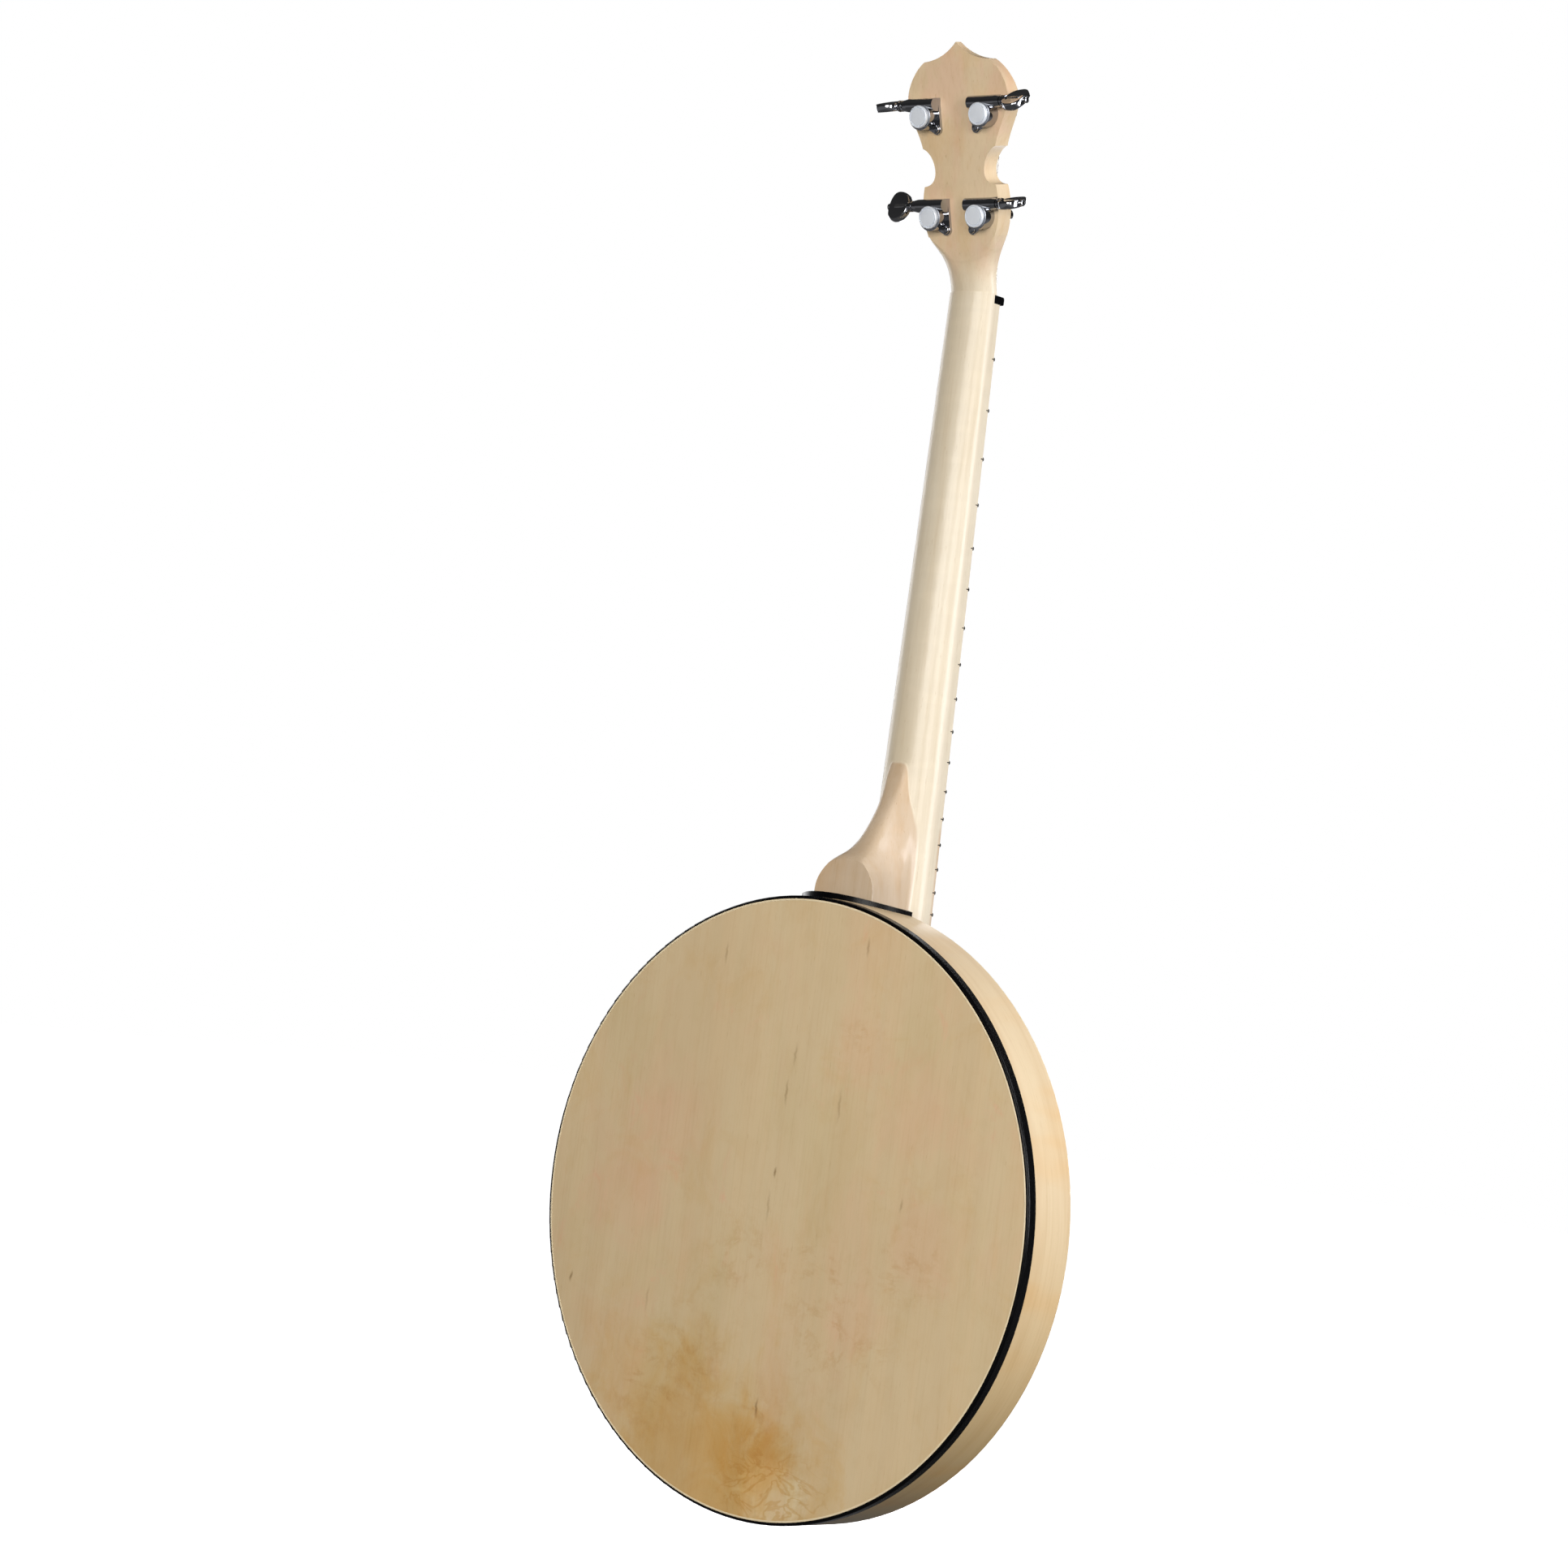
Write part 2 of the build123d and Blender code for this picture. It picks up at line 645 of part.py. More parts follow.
STRING_NUT_Y = FINGERBOARD_Y - 0.9
string_x = [i - 1.5 for i in range(4)]
with BuildPart() as nut:
    with Locations((0, NECK_TOP_Y, NUT_Z)):
        Box(
            2 * NECK_HALF_WIDTH_AT_NUT,
            NECK_TOP_Y - NUT_FRONT_Y,
            NUT_THICKNESS,
            align=(Align.CENTER, Align.MAX, Align.MIN),
        )
    fillet(nut.edges().filter_by(Axis.X).group_by(Axis.Y)[0], 1.2)
    for i, radius in enumerate(STRING_RADII):
        x = string_x[i] * STRING_SPACING_NUT
        with Locations((x, STRING_NUT_Y, NUT_Z - 0.1)):
            Box(
                2 * radius + 0.12,
                10,
                1.0,
                align=(Align.CENTER, Align.MAX, Align.MIN),
                mode=Mode.SUBTRACT,
            )
        with Locations((x, STRING_NUT_Y + 1.5, NUT_Z + 0.7)):
            Box(
                2 * radius + 1.4,
                12,
                6,
                align=(Align.CENTER, Align.MAX, Align.MIN),
                mode=Mode.SUBTRACT,
            )
save(nut, "nut")

# ================================================================ bridge and tailpiece
BRIDGE_HALF = 32.0
CAP_HEIGHT = 2.0
BRIDGE_FOOT = 4.4
BRIDGE_CAP_WIDTH = 4.0
with BuildPart() as bridge_body:
    foot = HEAD_Y - 0.02
    shoulder = BRIDGE_TOP_Y + CAP_HEIGHT
    with BuildSketch(Plane.XY.offset(BRIDGE_Z - BRIDGE_FOOT / 2)):
        with BuildLine():
            Polyline(
                (-BRIDGE_HALF - 3, foot),
                (BRIDGE_HALF + 3, foot),
                (BRIDGE_HALF + 3, foot - 3),
                (BRIDGE_HALF - 6, shoulder),
                (-BRIDGE_HALF + 6, shoulder),
                (-BRIDGE_HALF - 3, foot - 3),
                close=True,
            )
        make_face()
        for x in (-16, 16):
            with Locations((x, foot)):
                Ellipse(11, 9, mode=Mode.SUBTRACT)
    extrude(amount=BRIDGE_FOOT)
save(bridge_body, "bridge_body")

with BuildPart() as bridge_cap:
    with Locations((0, BRIDGE_TOP_Y, BRIDGE_Z)):
        Box(
            2 * BRIDGE_HALF - 12,
            CAP_HEIGHT,
            BRIDGE_CAP_WIDTH,
            align=(Align.CENTER, Align.MIN, Align.CENTER),
        )
    chamfer(bridge_cap.edges().filter_by(Axis.X).group_by(Axis.Y)[0], 1.3)
save(bridge_cap, "bridge_cap")

TAIL_LIP_Z = -124.0
TAIL_FRONT_Y = -69.6
TAIL_LEG_Z = -147.0
TAIL_LEG_Y = -31.0
TAIL_SHEET = 1.6
TAIL_HALF = 17.0
with BuildPart() as tailpiece:
    with BuildSketch(Plane.YZ):
        with BuildLine():
            Polyline(
                (-73.4, TAIL_LIP_Z),
                (-68.0, TAIL_LIP_Z),
                (-68.0, TAIL_LEG_Z),
                (TAIL_LEG_Y, TAIL_LEG_Z),
                (TAIL_LEG_Y, TAIL_LEG_Z - 1.5),
                (TAIL_FRONT_Y, TAIL_LEG_Z - 1.5),
                (TAIL_FRONT_Y, TAIL_LIP_Z - TAIL_SHEET),
                (-73.4, TAIL_LIP_Z - TAIL_SHEET),
                close=True,
            )
        make_face()
    extrude(amount=TAIL_HALF, both=True)
    # The leg narrows below the hoop and takes the tail bolt.
    for sign in (-1, 1):
        with Locations((sign * TAIL_HALF, -48, TAIL_LEG_Z - 1)):
            Box(16, 40, 6, align=(Align.CENTER, Align.MIN, Align.CENTER), mode=Mode.SUBTRACT)
    with Locations(up_plane(ROD_Y, -152)):
        Cylinder(ROD_HOLE, 8, align=BASE, mode=Mode.SUBTRACT)
save(tailpiece, "tailpiece")

with BuildPart() as tailpiece_bolt:
    with Locations(up_plane(ROD_Y, -154.5)):
        Cylinder(ROD_BOLT, 154.5 - ROD_END + 13, align=BASE)
save(tailpiece_bolt, "tailpiece_bolt")

# ================================================================ tuners
CASE_HEIGHT = 7.4
CASE_RADIUS = 7.2
CASE_BORE = 5.2
CASE_FLOOR = 1.4
COVER_RADIUS = 6.1
COVER_HEIGHT = 2.1
PLATE_THICKNESS = 1.8
TUNNEL_RADIUS = 3.5
TUNNEL_INNER = -8.5
TUNNEL_OUTER = 9.5
NOSE_LENGTH = 3.2
NOSE_RADIUS = 2.9
SHAFT_RADIUS = 1.9
CORE_RADIUS = 1.3
WORM_SPACE = 4.2
PIVOT_RADIUS = 1.2
BUTTON_START = 13.4
BUTTON_END = 29.0
BUTTON_CENTRE = 20.6
TANG_START = 25.02
BUTTON_HALF = 8.1
BUTTON_EDGE = 1.1
COLLAR_RADIUS = 3.1
TANG_RADIUS = 1.0
GEAR_START = 2.95
GEAR_WIDTH = 2.9
GEAR_ROOT = 3.5
GEAR_TIP = 4.8
HUB_RADIUS = 3.2
HUB_START = 1.55
POST_RADIUS = 3.0
POST_STEM = 2.0
POST_SCREW = 0.95
WAIST_RADIUS = 2.6
WAIST_HALF = 3.4
POST_FRONT = PEGHEAD_THICKNESS + 11.5
STRING_HEIGHT = PEGHEAD_THICKNESS + 6.2
BUSHING_START = 3.5
WASHER_THICKNESS = 0.8
SCREW_RADIUS = 1.2
SCREW_HEAD_RADIUS = 2.2

with BuildPart() as worm_thread:
    with BuildLine() as helix:
        Helix(WORM_PITCH, 3 * WORM_PITCH, CORE_RADIUS - 0.05, center=(0, 0, -1.5 * WORM_PITCH))
    with BuildSketch(Plane(origin=helix.line @ 0, x_dir=(1, 0, 0), z_dir=helix.line % 0)):
        with BuildLine():
            Polyline((0, -0.4), (0, 0.4), (1.2, 0.18), (1.2, -0.18), close=True)
        make_face()
    sweep(is_frenet=True)

bushings = []
ear_screws = []
for name, x, s, out, button_turn in TUNERS:
    # Local axes of one tuner's seat: x outward, z away from the peghead's back face.
    seat = Plane(
        origin=PEGHEAD.from_local_coords((x, s, 0)),
        x_dir=(out, 0, 0),
        z_dir=(0, PITCH_COS, -PITCH_SIN),
    )
    tip = -out
    worm_centre = seat.from_local_coords((0, tip * WORM_OFFSET, WORM_HEIGHT))
    worm_y = tip * WORM_OFFSET
    ear = (-EAR_INWARD, -tip * EAR_DOWN)

    def along(start, seat=seat, worm_y=worm_y):
        """A plane square to the worm's axis, local z pointing outward."""
        origin = seat.from_local_coords((start, worm_y, WORM_HEIGHT))
        return Plane(origin=origin, x_dir=seat.z_dir, z_dir=seat.x_dir)

    def above(height, centre=(0, 0), seat=seat):
        """A plane parallel to the seat, measured away from the peghead."""
        origin = seat.from_local_coords((centre[0], centre[1], height))
        return Plane(origin=origin, z_dir=seat.z_dir)

    with BuildPart() as housing:
        with BuildSketch(seat):
            Circle(CASE_RADIUS)
            with Locations(((TUNNEL_INNER + TUNNEL_OUTER) / 2, worm_y)):
                Rectangle(TUNNEL_OUTER - TUNNEL_INNER, 2 * TUNNEL_RADIUS)
        extrude(amount=WORM_HEIGHT)
        with BuildSketch(seat):
            Circle(CASE_RADIUS)
        extrude(amount=CASE_HEIGHT)
        with Locations(along(TUNNEL_INNER)):
            Cylinder(TUNNEL_RADIUS, TUNNEL_OUTER - TUNNEL_INNER, align=BASE)
        with Locations(along(TUNNEL_OUTER)):
            Cone(TUNNEL_RADIUS, NOSE_RADIUS, NOSE_LENGTH, align=BASE)
        with BuildSketch(seat):
            with Locations(ear):
                Circle(2.8)
            with BuildLine():
                Polyline(
                    (TUNNEL_INNER, worm_y),
                    (-9.2, -tip * 4.0),
                    (ear[0] - 2.6, ear[1]),
                    (ear[0] + 1.8, ear[1] - tip * 2.0),
                    (0, -tip * 6.5),
                    (0, worm_y),
                    close=True,
                )
            make_face()
        extrude(amount=PLATE_THICKNESS)
        with Locations(above(CASE_FLOOR)):
            Cylinder(CASE_BORE, CASE_HEIGHT, align=BASE, mode=Mode.SUBTRACT)
        with Locations(above(CASE_HEIGHT)):
            Cylinder(COVER_RADIUS + 0.05, 3, align=BASE, mode=Mode.SUBTRACT)
        with Locations(above(-1)):
            Cylinder(POST_RADIUS + 0.05, 4, align=BASE, mode=Mode.SUBTRACT)
        with Locations(along(-WORM_SPACE)):
            Cylinder(2.75, 2 * WORM_SPACE, align=BASE, mode=Mode.SUBTRACT)
        with Locations(along(-7.2)):
            Cylinder(PIVOT_RADIUS + 0.05, 8, align=BASE, mode=Mode.SUBTRACT)
        with Locations(along(0)):
            Cylinder(SHAFT_RADIUS + 0.05, 20, align=BASE, mode=Mode.SUBTRACT)
        with Locations(above(-1, ear)):
            Cylinder(SCREW_RADIUS + 0.1, 4, align=BASE, mode=Mode.SUBTRACT)
    save(housing, f"tuner_housing_{name}")

    with BuildPart() as cover:
        with BuildSketch(above(CASE_HEIGHT)):
            Circle(COVER_RADIUS)
        extrude(amount=COVER_HEIGHT)
        fillet(cover.edges().filter_by(GeomType.CIRCLE).sort_by(Axis.Y)[-1], 0.9)
    save(cover, f"tuner_cover_{name}")

    # The thread keeps one hand on both sides of the peghead, so it is placed along +X.
    with BuildPart() as worm_shaft:
        with Locations(Plane(origin=worm_centre, x_dir=(0, -PITCH_SIN, -PITCH_COS), z_dir=(1, 0, 0))):
            add(worm_thread.part)
        with Locations(along(-7.0)):
            Cylinder(PIVOT_RADIUS, 5, align=BASE)
        with Locations(along(-3.9)):
            Cylinder(CORE_RADIUS, 8, align=BASE)
        with Locations(along(3.9)):
            Cylinder(SHAFT_RADIUS, TANG_START - 3.92, align=BASE)
        with Locations(along(BUTTON_END + 0.02)):
            Cylinder(SHAFT_RADIUS, 0.9, align=BASE)
        with Locations(along(TANG_START)):
            Cylinder(TANG_RADIUS, 4.2, align=BASE)
    save(worm_shaft, f"worm_shaft_{name}")

    turn = math.radians(button_turn)
    normal = seat.z_dir * math.cos(turn) + PEGHEAD.y_dir * math.sin(turn)
    blade = Plane(origin=worm_centre, x_dir=(out, 0, 0), z_dir=normal)
    with BuildPart() as button:
        with BuildSketch(blade):
            with Locations((BUTTON_CENTRE, 0)):
                Ellipse(BUTTON_END - BUTTON_CENTRE, BUTTON_HALF)
            with Locations((BUTTON_START + 12, 0)):
                Rectangle(20, 20, mode=Mode.INTERSECT)
        extrude(amount=2 * BUTTON_EDGE, both=True)
        fillet(button.edges(), BUTTON_EDGE)
        with Locations(along(BUTTON_START)):
            Cylinder(COLLAR_RADIUS, 5, align=BASE)
        with Locations(along(BUTTON_START - 1)):
            Cylinder(SHAFT_RADIUS + 0.04, 12.7, align=BASE, mode=Mode.SUBTRACT)
        with Locations(along(BUTTON_START)):
            Cylinder(TANG_RADIUS + 0.05, 20, align=BASE, mode=Mode.SUBTRACT)
    save(button, f"tuner_button_{name}")

    with BuildPart() as gear:
        wheel = Plane(
            origin=seat.from_local_coords((0, 0, GEAR_START)), x_dir=PEGHEAD.y_dir, z_dir=seat.z_dir
        )
        with BuildSketch(wheel):
            Circle(GEAR_ROOT)
            with PolarLocations(0, GEAR_TEETH):
                Polygon((3.3, -0.36), (GEAR_TIP, -0.22), (GEAR_TIP, 0.22), (3.3, 0.36), align=None)
        extrude(amount=GEAR_WIDTH)
        with Locations(above(HUB_START)):
            Cylinder(HUB_RADIUS, 4.8, align=BASE)
            Cylinder(POST_STEM + 0.03, 4.8, align=BASE, mode=Mode.SUBTRACT)
    save(gear, f"worm_gear_{name}")

    with BuildPart() as post:
        with BuildSketch(above(-POST_FRONT)):
            Circle(POST_RADIUS)
        extrude(amount=POST_FRONT + 1.5)
        chamfer(post.edges().filter_by(GeomType.CIRCLE).sort_by(Axis.Y)[0], 0.6)
        with BuildSketch(above(-STRING_HEIGHT - WAIST_HALF)):
            Circle(POST_RADIUS + 1)
            Circle(WAIST_RADIUS, mode=Mode.SUBTRACT)
        extrude(amount=2 * WAIST_HALF, mode=Mode.SUBTRACT)
        with Locations(above(CASE_FLOOR)):
            Cylinder(POST_STEM, 5, align=BASE)
        with Locations(above(3.4)):
            Cylinder(1.0, 4, align=BASE, mode=Mode.SUBTRACT)
        string_hole = seat.from_local_coords((-5, 0, -STRING_HEIGHT - 3))
        with Locations(Plane(origin=string_hole, z_dir=seat.x_dir)):
            Cylinder(0.8, 10, align=BASE, mode=Mode.SUBTRACT)
        with Locations(above(3.5)):
            Cylinder(POST_SCREW, 2.95, align=BASE)
        with Locations(above(6.42)):
            Cylinder(2.9, 0.7, align=BASE)
    save(post, f"string_post_{name}")

    with BuildPart() as bushing:
        inside, face, nut_seat = (
            Plane(origin=PEGHEAD.from_local_coords((x, s, depth)), z_dir=PEGHEAD.z_dir)
            for depth in (BUSHING_START, PEGHEAD_THICKNESS, PEGHEAD_THICKNESS + WASHER_THICKNESS)
        )
        with BuildSketch(inside):
            Circle(BUSHING_RADIUS)
        extrude(amount=PEGHEAD_THICKNESS - BUSHING_START)
        with BuildSketch(face):
            Circle(6.4)
        extrude(amount=WASHER_THICKNESS)
        with BuildSketch(nut_seat):
            RegularPolygon(NUT_ACROSS, 6)
        extrude(amount=1.8)
        with Locations(inside):
            Cylinder(POST_RADIUS + 0.05, 12, align=BASE, mode=Mode.SUBTRACT)
    bushings.append(bushing.part)

    with BuildPart() as ear_screw:
        with Locations(above(-6, ear)):
            Cylinder(SCREW_RADIUS, 8, align=BASE)
        with BuildSketch(above(PLATE_THICKNESS + 0.02, ear)):
            Circle(SCREW_HEAD_RADIUS)
        extrude(amount=1.1)
    ear_screws.append(ear_screw.part)

with BuildPart() as tuner_bushings:
    for piece in bushings:
        add(piece)
save(tuner_bushings, "tuner_bushings")

with BuildPart() as tuner_screws:
    for piece in ear_screws:
        add(piece)
save(tuner_screws, "tuner_screws")

# ================================================================ strings
# The outer strings wind on the lower posts and the inner ones on the upper posts.
string_runs = []
for i, radius in enumerate(STRING_RADII):
    name, x, s, out, button_turn = TUNERS[i]
    post_axis = Plane(origin=PEGHEAD.from_local_coords((x, s, 0)), z_dir=PEGHEAD.z_dir)
    wrap = WAIST_RADIUS + 0.02 + radius

    with BuildPart() as winding:
        turns = Plane(origin=post_axis.origin, x_dir=(1, 0, 0), z_dir=(0, PITCH_SIN, PITCH_COS))
        with BuildSketch(turns):
            for turn in range(3):
                height = STRING_HEIGHT - (2 * turn + 2) * radius - 0.02
                with Locations((wrap, -height)):
                    Circle(radius)
            with Locations((wrap - radius / 2, -STRING_HEIGHT + 4 * radius + 0.02)):
                Rectangle(radius, 5.6 * radius)
        revolve(axis=Axis(post_axis.origin, post_axis.z_dir))
    save(winding, f"string_winding_{name}")

    tail = (string_x[i] * 7.0, -71.0, TAIL_LIP_Z + 0.03)
    saddle = (string_x[i] * STRING_SPACING_BRIDGE, BRIDGE_TOP_Y - radius - 0.06, BRIDGE_Z)
    slot = (string_x[i] * STRING_SPACING_NUT, STRING_NUT_Y - radius - 0.02, NUT_Z + 0.6)
    end = tuple(PEGHEAD.from_local_coords((x - out * wrap, s, STRING_HEIGHT)))
    with BuildPart() as string_run:
        for start, stop in ((tail, saddle), (saddle, slot), (slot, end)):
            add(rod_between(start, stop, radius))
        for knot in (saddle, slot):
            with Locations(knot):
                Sphere(radius)
    string_runs.append(string_run.part)

with BuildPart() as strings:
    for piece in string_runs:
        add(piece)
save(strings, "strings")
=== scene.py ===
import json
import math

import bmesh
import bpy
from mathutils import Matrix, Vector


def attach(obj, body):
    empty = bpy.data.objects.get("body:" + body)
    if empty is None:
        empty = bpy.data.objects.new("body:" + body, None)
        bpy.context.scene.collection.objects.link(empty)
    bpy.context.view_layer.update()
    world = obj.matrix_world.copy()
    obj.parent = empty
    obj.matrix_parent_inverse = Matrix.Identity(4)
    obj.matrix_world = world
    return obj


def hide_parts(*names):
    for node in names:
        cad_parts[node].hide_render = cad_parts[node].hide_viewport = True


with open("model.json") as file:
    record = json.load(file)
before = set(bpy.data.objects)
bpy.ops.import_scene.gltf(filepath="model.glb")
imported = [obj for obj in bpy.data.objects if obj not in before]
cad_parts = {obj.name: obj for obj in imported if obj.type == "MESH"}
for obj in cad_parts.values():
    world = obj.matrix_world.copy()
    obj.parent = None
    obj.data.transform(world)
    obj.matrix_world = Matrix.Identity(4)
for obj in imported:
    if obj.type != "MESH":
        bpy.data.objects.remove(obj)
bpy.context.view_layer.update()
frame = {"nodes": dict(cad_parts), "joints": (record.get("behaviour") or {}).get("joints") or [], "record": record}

# Banjo seen from behind: metres, origin on the pot's axis at the resonator's back face,
# +Z up the neck, +Y out of the back, -Y out of the front, +X to the right seen from the front.

NODES = frame["nodes"]
TUNERS = ("bass_lower", "bass_upper", "treble_upper", "treble_lower")

# ---------------------------------------------------------------- camera
VIEW_AZIMUTH = 220.75
VIEW_ELEVATION = -2.28
VIEW_ROLL = 7.04
VIEW_DISTANCE = 2.1137
VIEW_TARGET = Vector((0.0119, 0.0218, 0.2193))
LENS_MM = 93.17


def make_camera():
    """The camera at the photograph's viewing angle."""
    azimuth = math.radians(VIEW_AZIMUTH)
    elevation = math.radians(VIEW_ELEVATION)
    level = math.cos(elevation)
    away = Vector((math.sin(azimuth) * level, -math.cos(azimuth) * level, math.sin(elevation)))
    data = bpy.data.cameras.new("camera")
    data.lens = LENS_MM
    data.sensor_width = 36.0
    data.clip_start = 0.05
    data.clip_end = 50.0
    camera = bpy.data.objects.new("camera", data)
    bpy.context.scene.collection.objects.link(camera)
    turn = away.to_track_quat("Z", "Y").to_matrix().to_4x4()
    roll = Matrix.Rotation(math.radians(VIEW_ROLL), 4, "Z")
    camera.matrix_world = Matrix.Translation(VIEW_TARGET + away * VIEW_DISTANCE) @ turn @ roll
    bpy.context.scene.camera = camera


make_camera()
bpy.context.scene.view_settings.view_transform = "Standard"


# ---------------------------------------------------------------- shader helpers
def set_inputs(tree, node, values):
    """Sets the node's inputs to numbers, or links them from sockets."""
    for key, value in values.items():
        if isinstance(value, bpy.types.NodeSocket):
            tree.links.new(value, node.inputs[key])
        else:
            node.inputs[key].default_value = value


def put(tree, kind, values=None, **settings):
    """Adds one shader node; values go to its inputs, as numbers or as sockets to link from."""
    node = tree.nodes.new("ShaderNode" + kind)
    for name, value in settings.items():
        setattr(node, name, value)
    set_inputs(tree, node, values or {})
    return node


def surface(name):
    """A material with one Principled shader, and its tree."""
    material = bpy.data.materials.new(name)
    material.use_nodes = True
    tree = material.node_tree
    tree.nodes.clear()
    bsdf = put(tree, "BsdfPrincipled")
    put(tree, "OutputMaterial", {"Surface": bsdf.outputs[0]})
    return material, tree, bsdf


def math_node(tree, operation, a, b=0.0, c=0.0):
    return put(tree, "Math", {0: a, 1: b, 2: c}, operation=operation).outputs[0]


def squared(tree, value):
    return math_node(tree, "MULTIPLY", value, value)


def object_place(tree):
    """Position in the object's own frame, in metres: it stays on the piece when the piece moves."""
    return put(tree, "TexCoord").outputs["Object"]


def scaled(tree, vector, scale, shift=(0, 0, 0)):
    return put(tree, "Mapping", {"Vector": vector, "Scale": scale, "Location": shift}).outputs[0]


def noise(tree, vector, scale, detail=3.0, roughness=0.55, distortion=0.0):
    values = {
        "Vector": vector,
        "Scale": scale,
        "Detail": detail,
        "Roughness": roughness,
        "Distortion": distortion,
    }
    return put(tree, "TexNoise", values).outputs[0]


def spread(tree, value, low, high, to_low=0.0, to_high=1.0):
    """Maps low..high to to_low..to_high smoothly, and holds it outside."""
    values = {0: value, 1: low, 2: high, 3: to_low, 4: to_high}
    return put(tree, "MapRange", values, interpolation_type="SMOOTHSTEP").outputs[0]


def mixed(tree, amount, a, b, how="MIX"):
    node = put(tree, "Mix", data_type="RGBA", blend_type=how)
    set_inputs(tree, node, {0: amount, 6: a, 7: b})
    return node.outputs[2]


def tinted(tree, amount, colour, tint):
    """Colour, multiplied by tint as far as amount says."""
    return mixed(tree, amount, colour, mixed(tree, 1.0, colour, tint, "MULTIPLY"))


def rgb(red, green, blue):
    """A display colour, 0 to 255, as linear light."""
    return tuple(
        (c / 255 / 12.92) if c <= 10 else ((c / 255 + 0.055) / 1.055) ** 2.4
        for c in (red, green, blue)
    ) + (1.0,)


def bumped(tree, bsdf, height, distance, strength=1.0):
    values = {"Height": height, "Distance": distance, "Strength": strength}
    tree.links.new(put(tree, "Bump", values).outputs[0], bsdf.inputs["Normal"])


# ---------------------------------------------------------------- woods
def grain(tree, place, pale, deep, fibre=0.5, figure=0.35, stretch=14.0, ring_scale=55.0):
    """Maple colour and height for a place whose Z runs along the grain."""
    wander = noise(tree, scaled(tree, place, (1, 1, 0.25)), 9.0, 3.0)
    bent = put(tree, "VectorMath", {0: place, 1: wander}, operation="ADD")
    bent_place = mixed(tree, 0.018, place, bent.outputs[0])
    along = scaled(tree, bent_place, (1, 1, 1 / stretch))
    broad = noise(tree, along, ring_scale, 3.0, 0.6, 0.4)
    streaks = noise(tree, scaled(tree, place, (1, 1, 1 / 40)), 700.0, 4.0, 0.65)
    pores = noise(tree, scaled(tree, place, (1, 1, 0.09)), 1500.0, 2.0, 0.5)
    colour = mixed(tree, spread(tree, broad, 0.35, 0.7, 0, figure), pale, deep)
    colour = tinted(tree, spread(tree, streaks, 0.45, 0.75, 0, fibre), colour, (0.86, 0.8, 0.72, 1))
    colour = tinted(tree, spread(tree, pores, 0.66, 0.78, 0, 0.55), colour, (0.72, 0.62, 0.5, 1))
    height = math_node(tree, "MULTIPLY_ADD", pores, -0.6, streaks)
    return colour, height


def lacquer(tree, bsdf, colour, height, roughness=0.42, coat=0.22):
    values = {
        "Base Color": colour,
        "Roughness": spread(tree, height, 0.0, 1.0, roughness + 0.07, roughness - 0.07),
        "Specular IOR Level": 0.4,
        "Coat Weight": coat,
        "Coat Roughness": 0.16,
    }
    set_inputs(tree, bsdf, values)
    bumped(tree, bsdf, height, 0.00012, 0.35)


TAN = (1.035, 0.92, 0.78, 1)
ROSY = (0.84, 0.745, 0.685, 1)
NUT_Z = 0.4914
# The shaft's oval section at the nut, and how fast it grows towards the pot.
SHAFT_HALF_WIDTH, SHAFT_WIDENING = 0.0145, 0.0133
SHAFT_DEPTH, SHAFT_DEEPENING = 0.01, 0.0226
SHAFT_MIDDLE_Y = -0.0706
# The heel's block stands this far outside that oval, up to an arched line across the neck.
HEEL_PROUD = (1.015, 1.07)
HEEL_ARCH = 180.0
HEEL_TOP = (0.265, 0.27)
# The peghead's block: how its plane leans, how its curved lower edge bows, and its glue line.
PEGHEAD_RISE, PEGHEAD_LEAN, PEGHEAD_SHIFT = 0.97, 0.242, 0.01505
PEGHEAD_BOW = 16.0
PEGHEAD_FADE = (-0.004, 0.034)
GLUE_LINE = (0.019, 0.0205, 0.022)


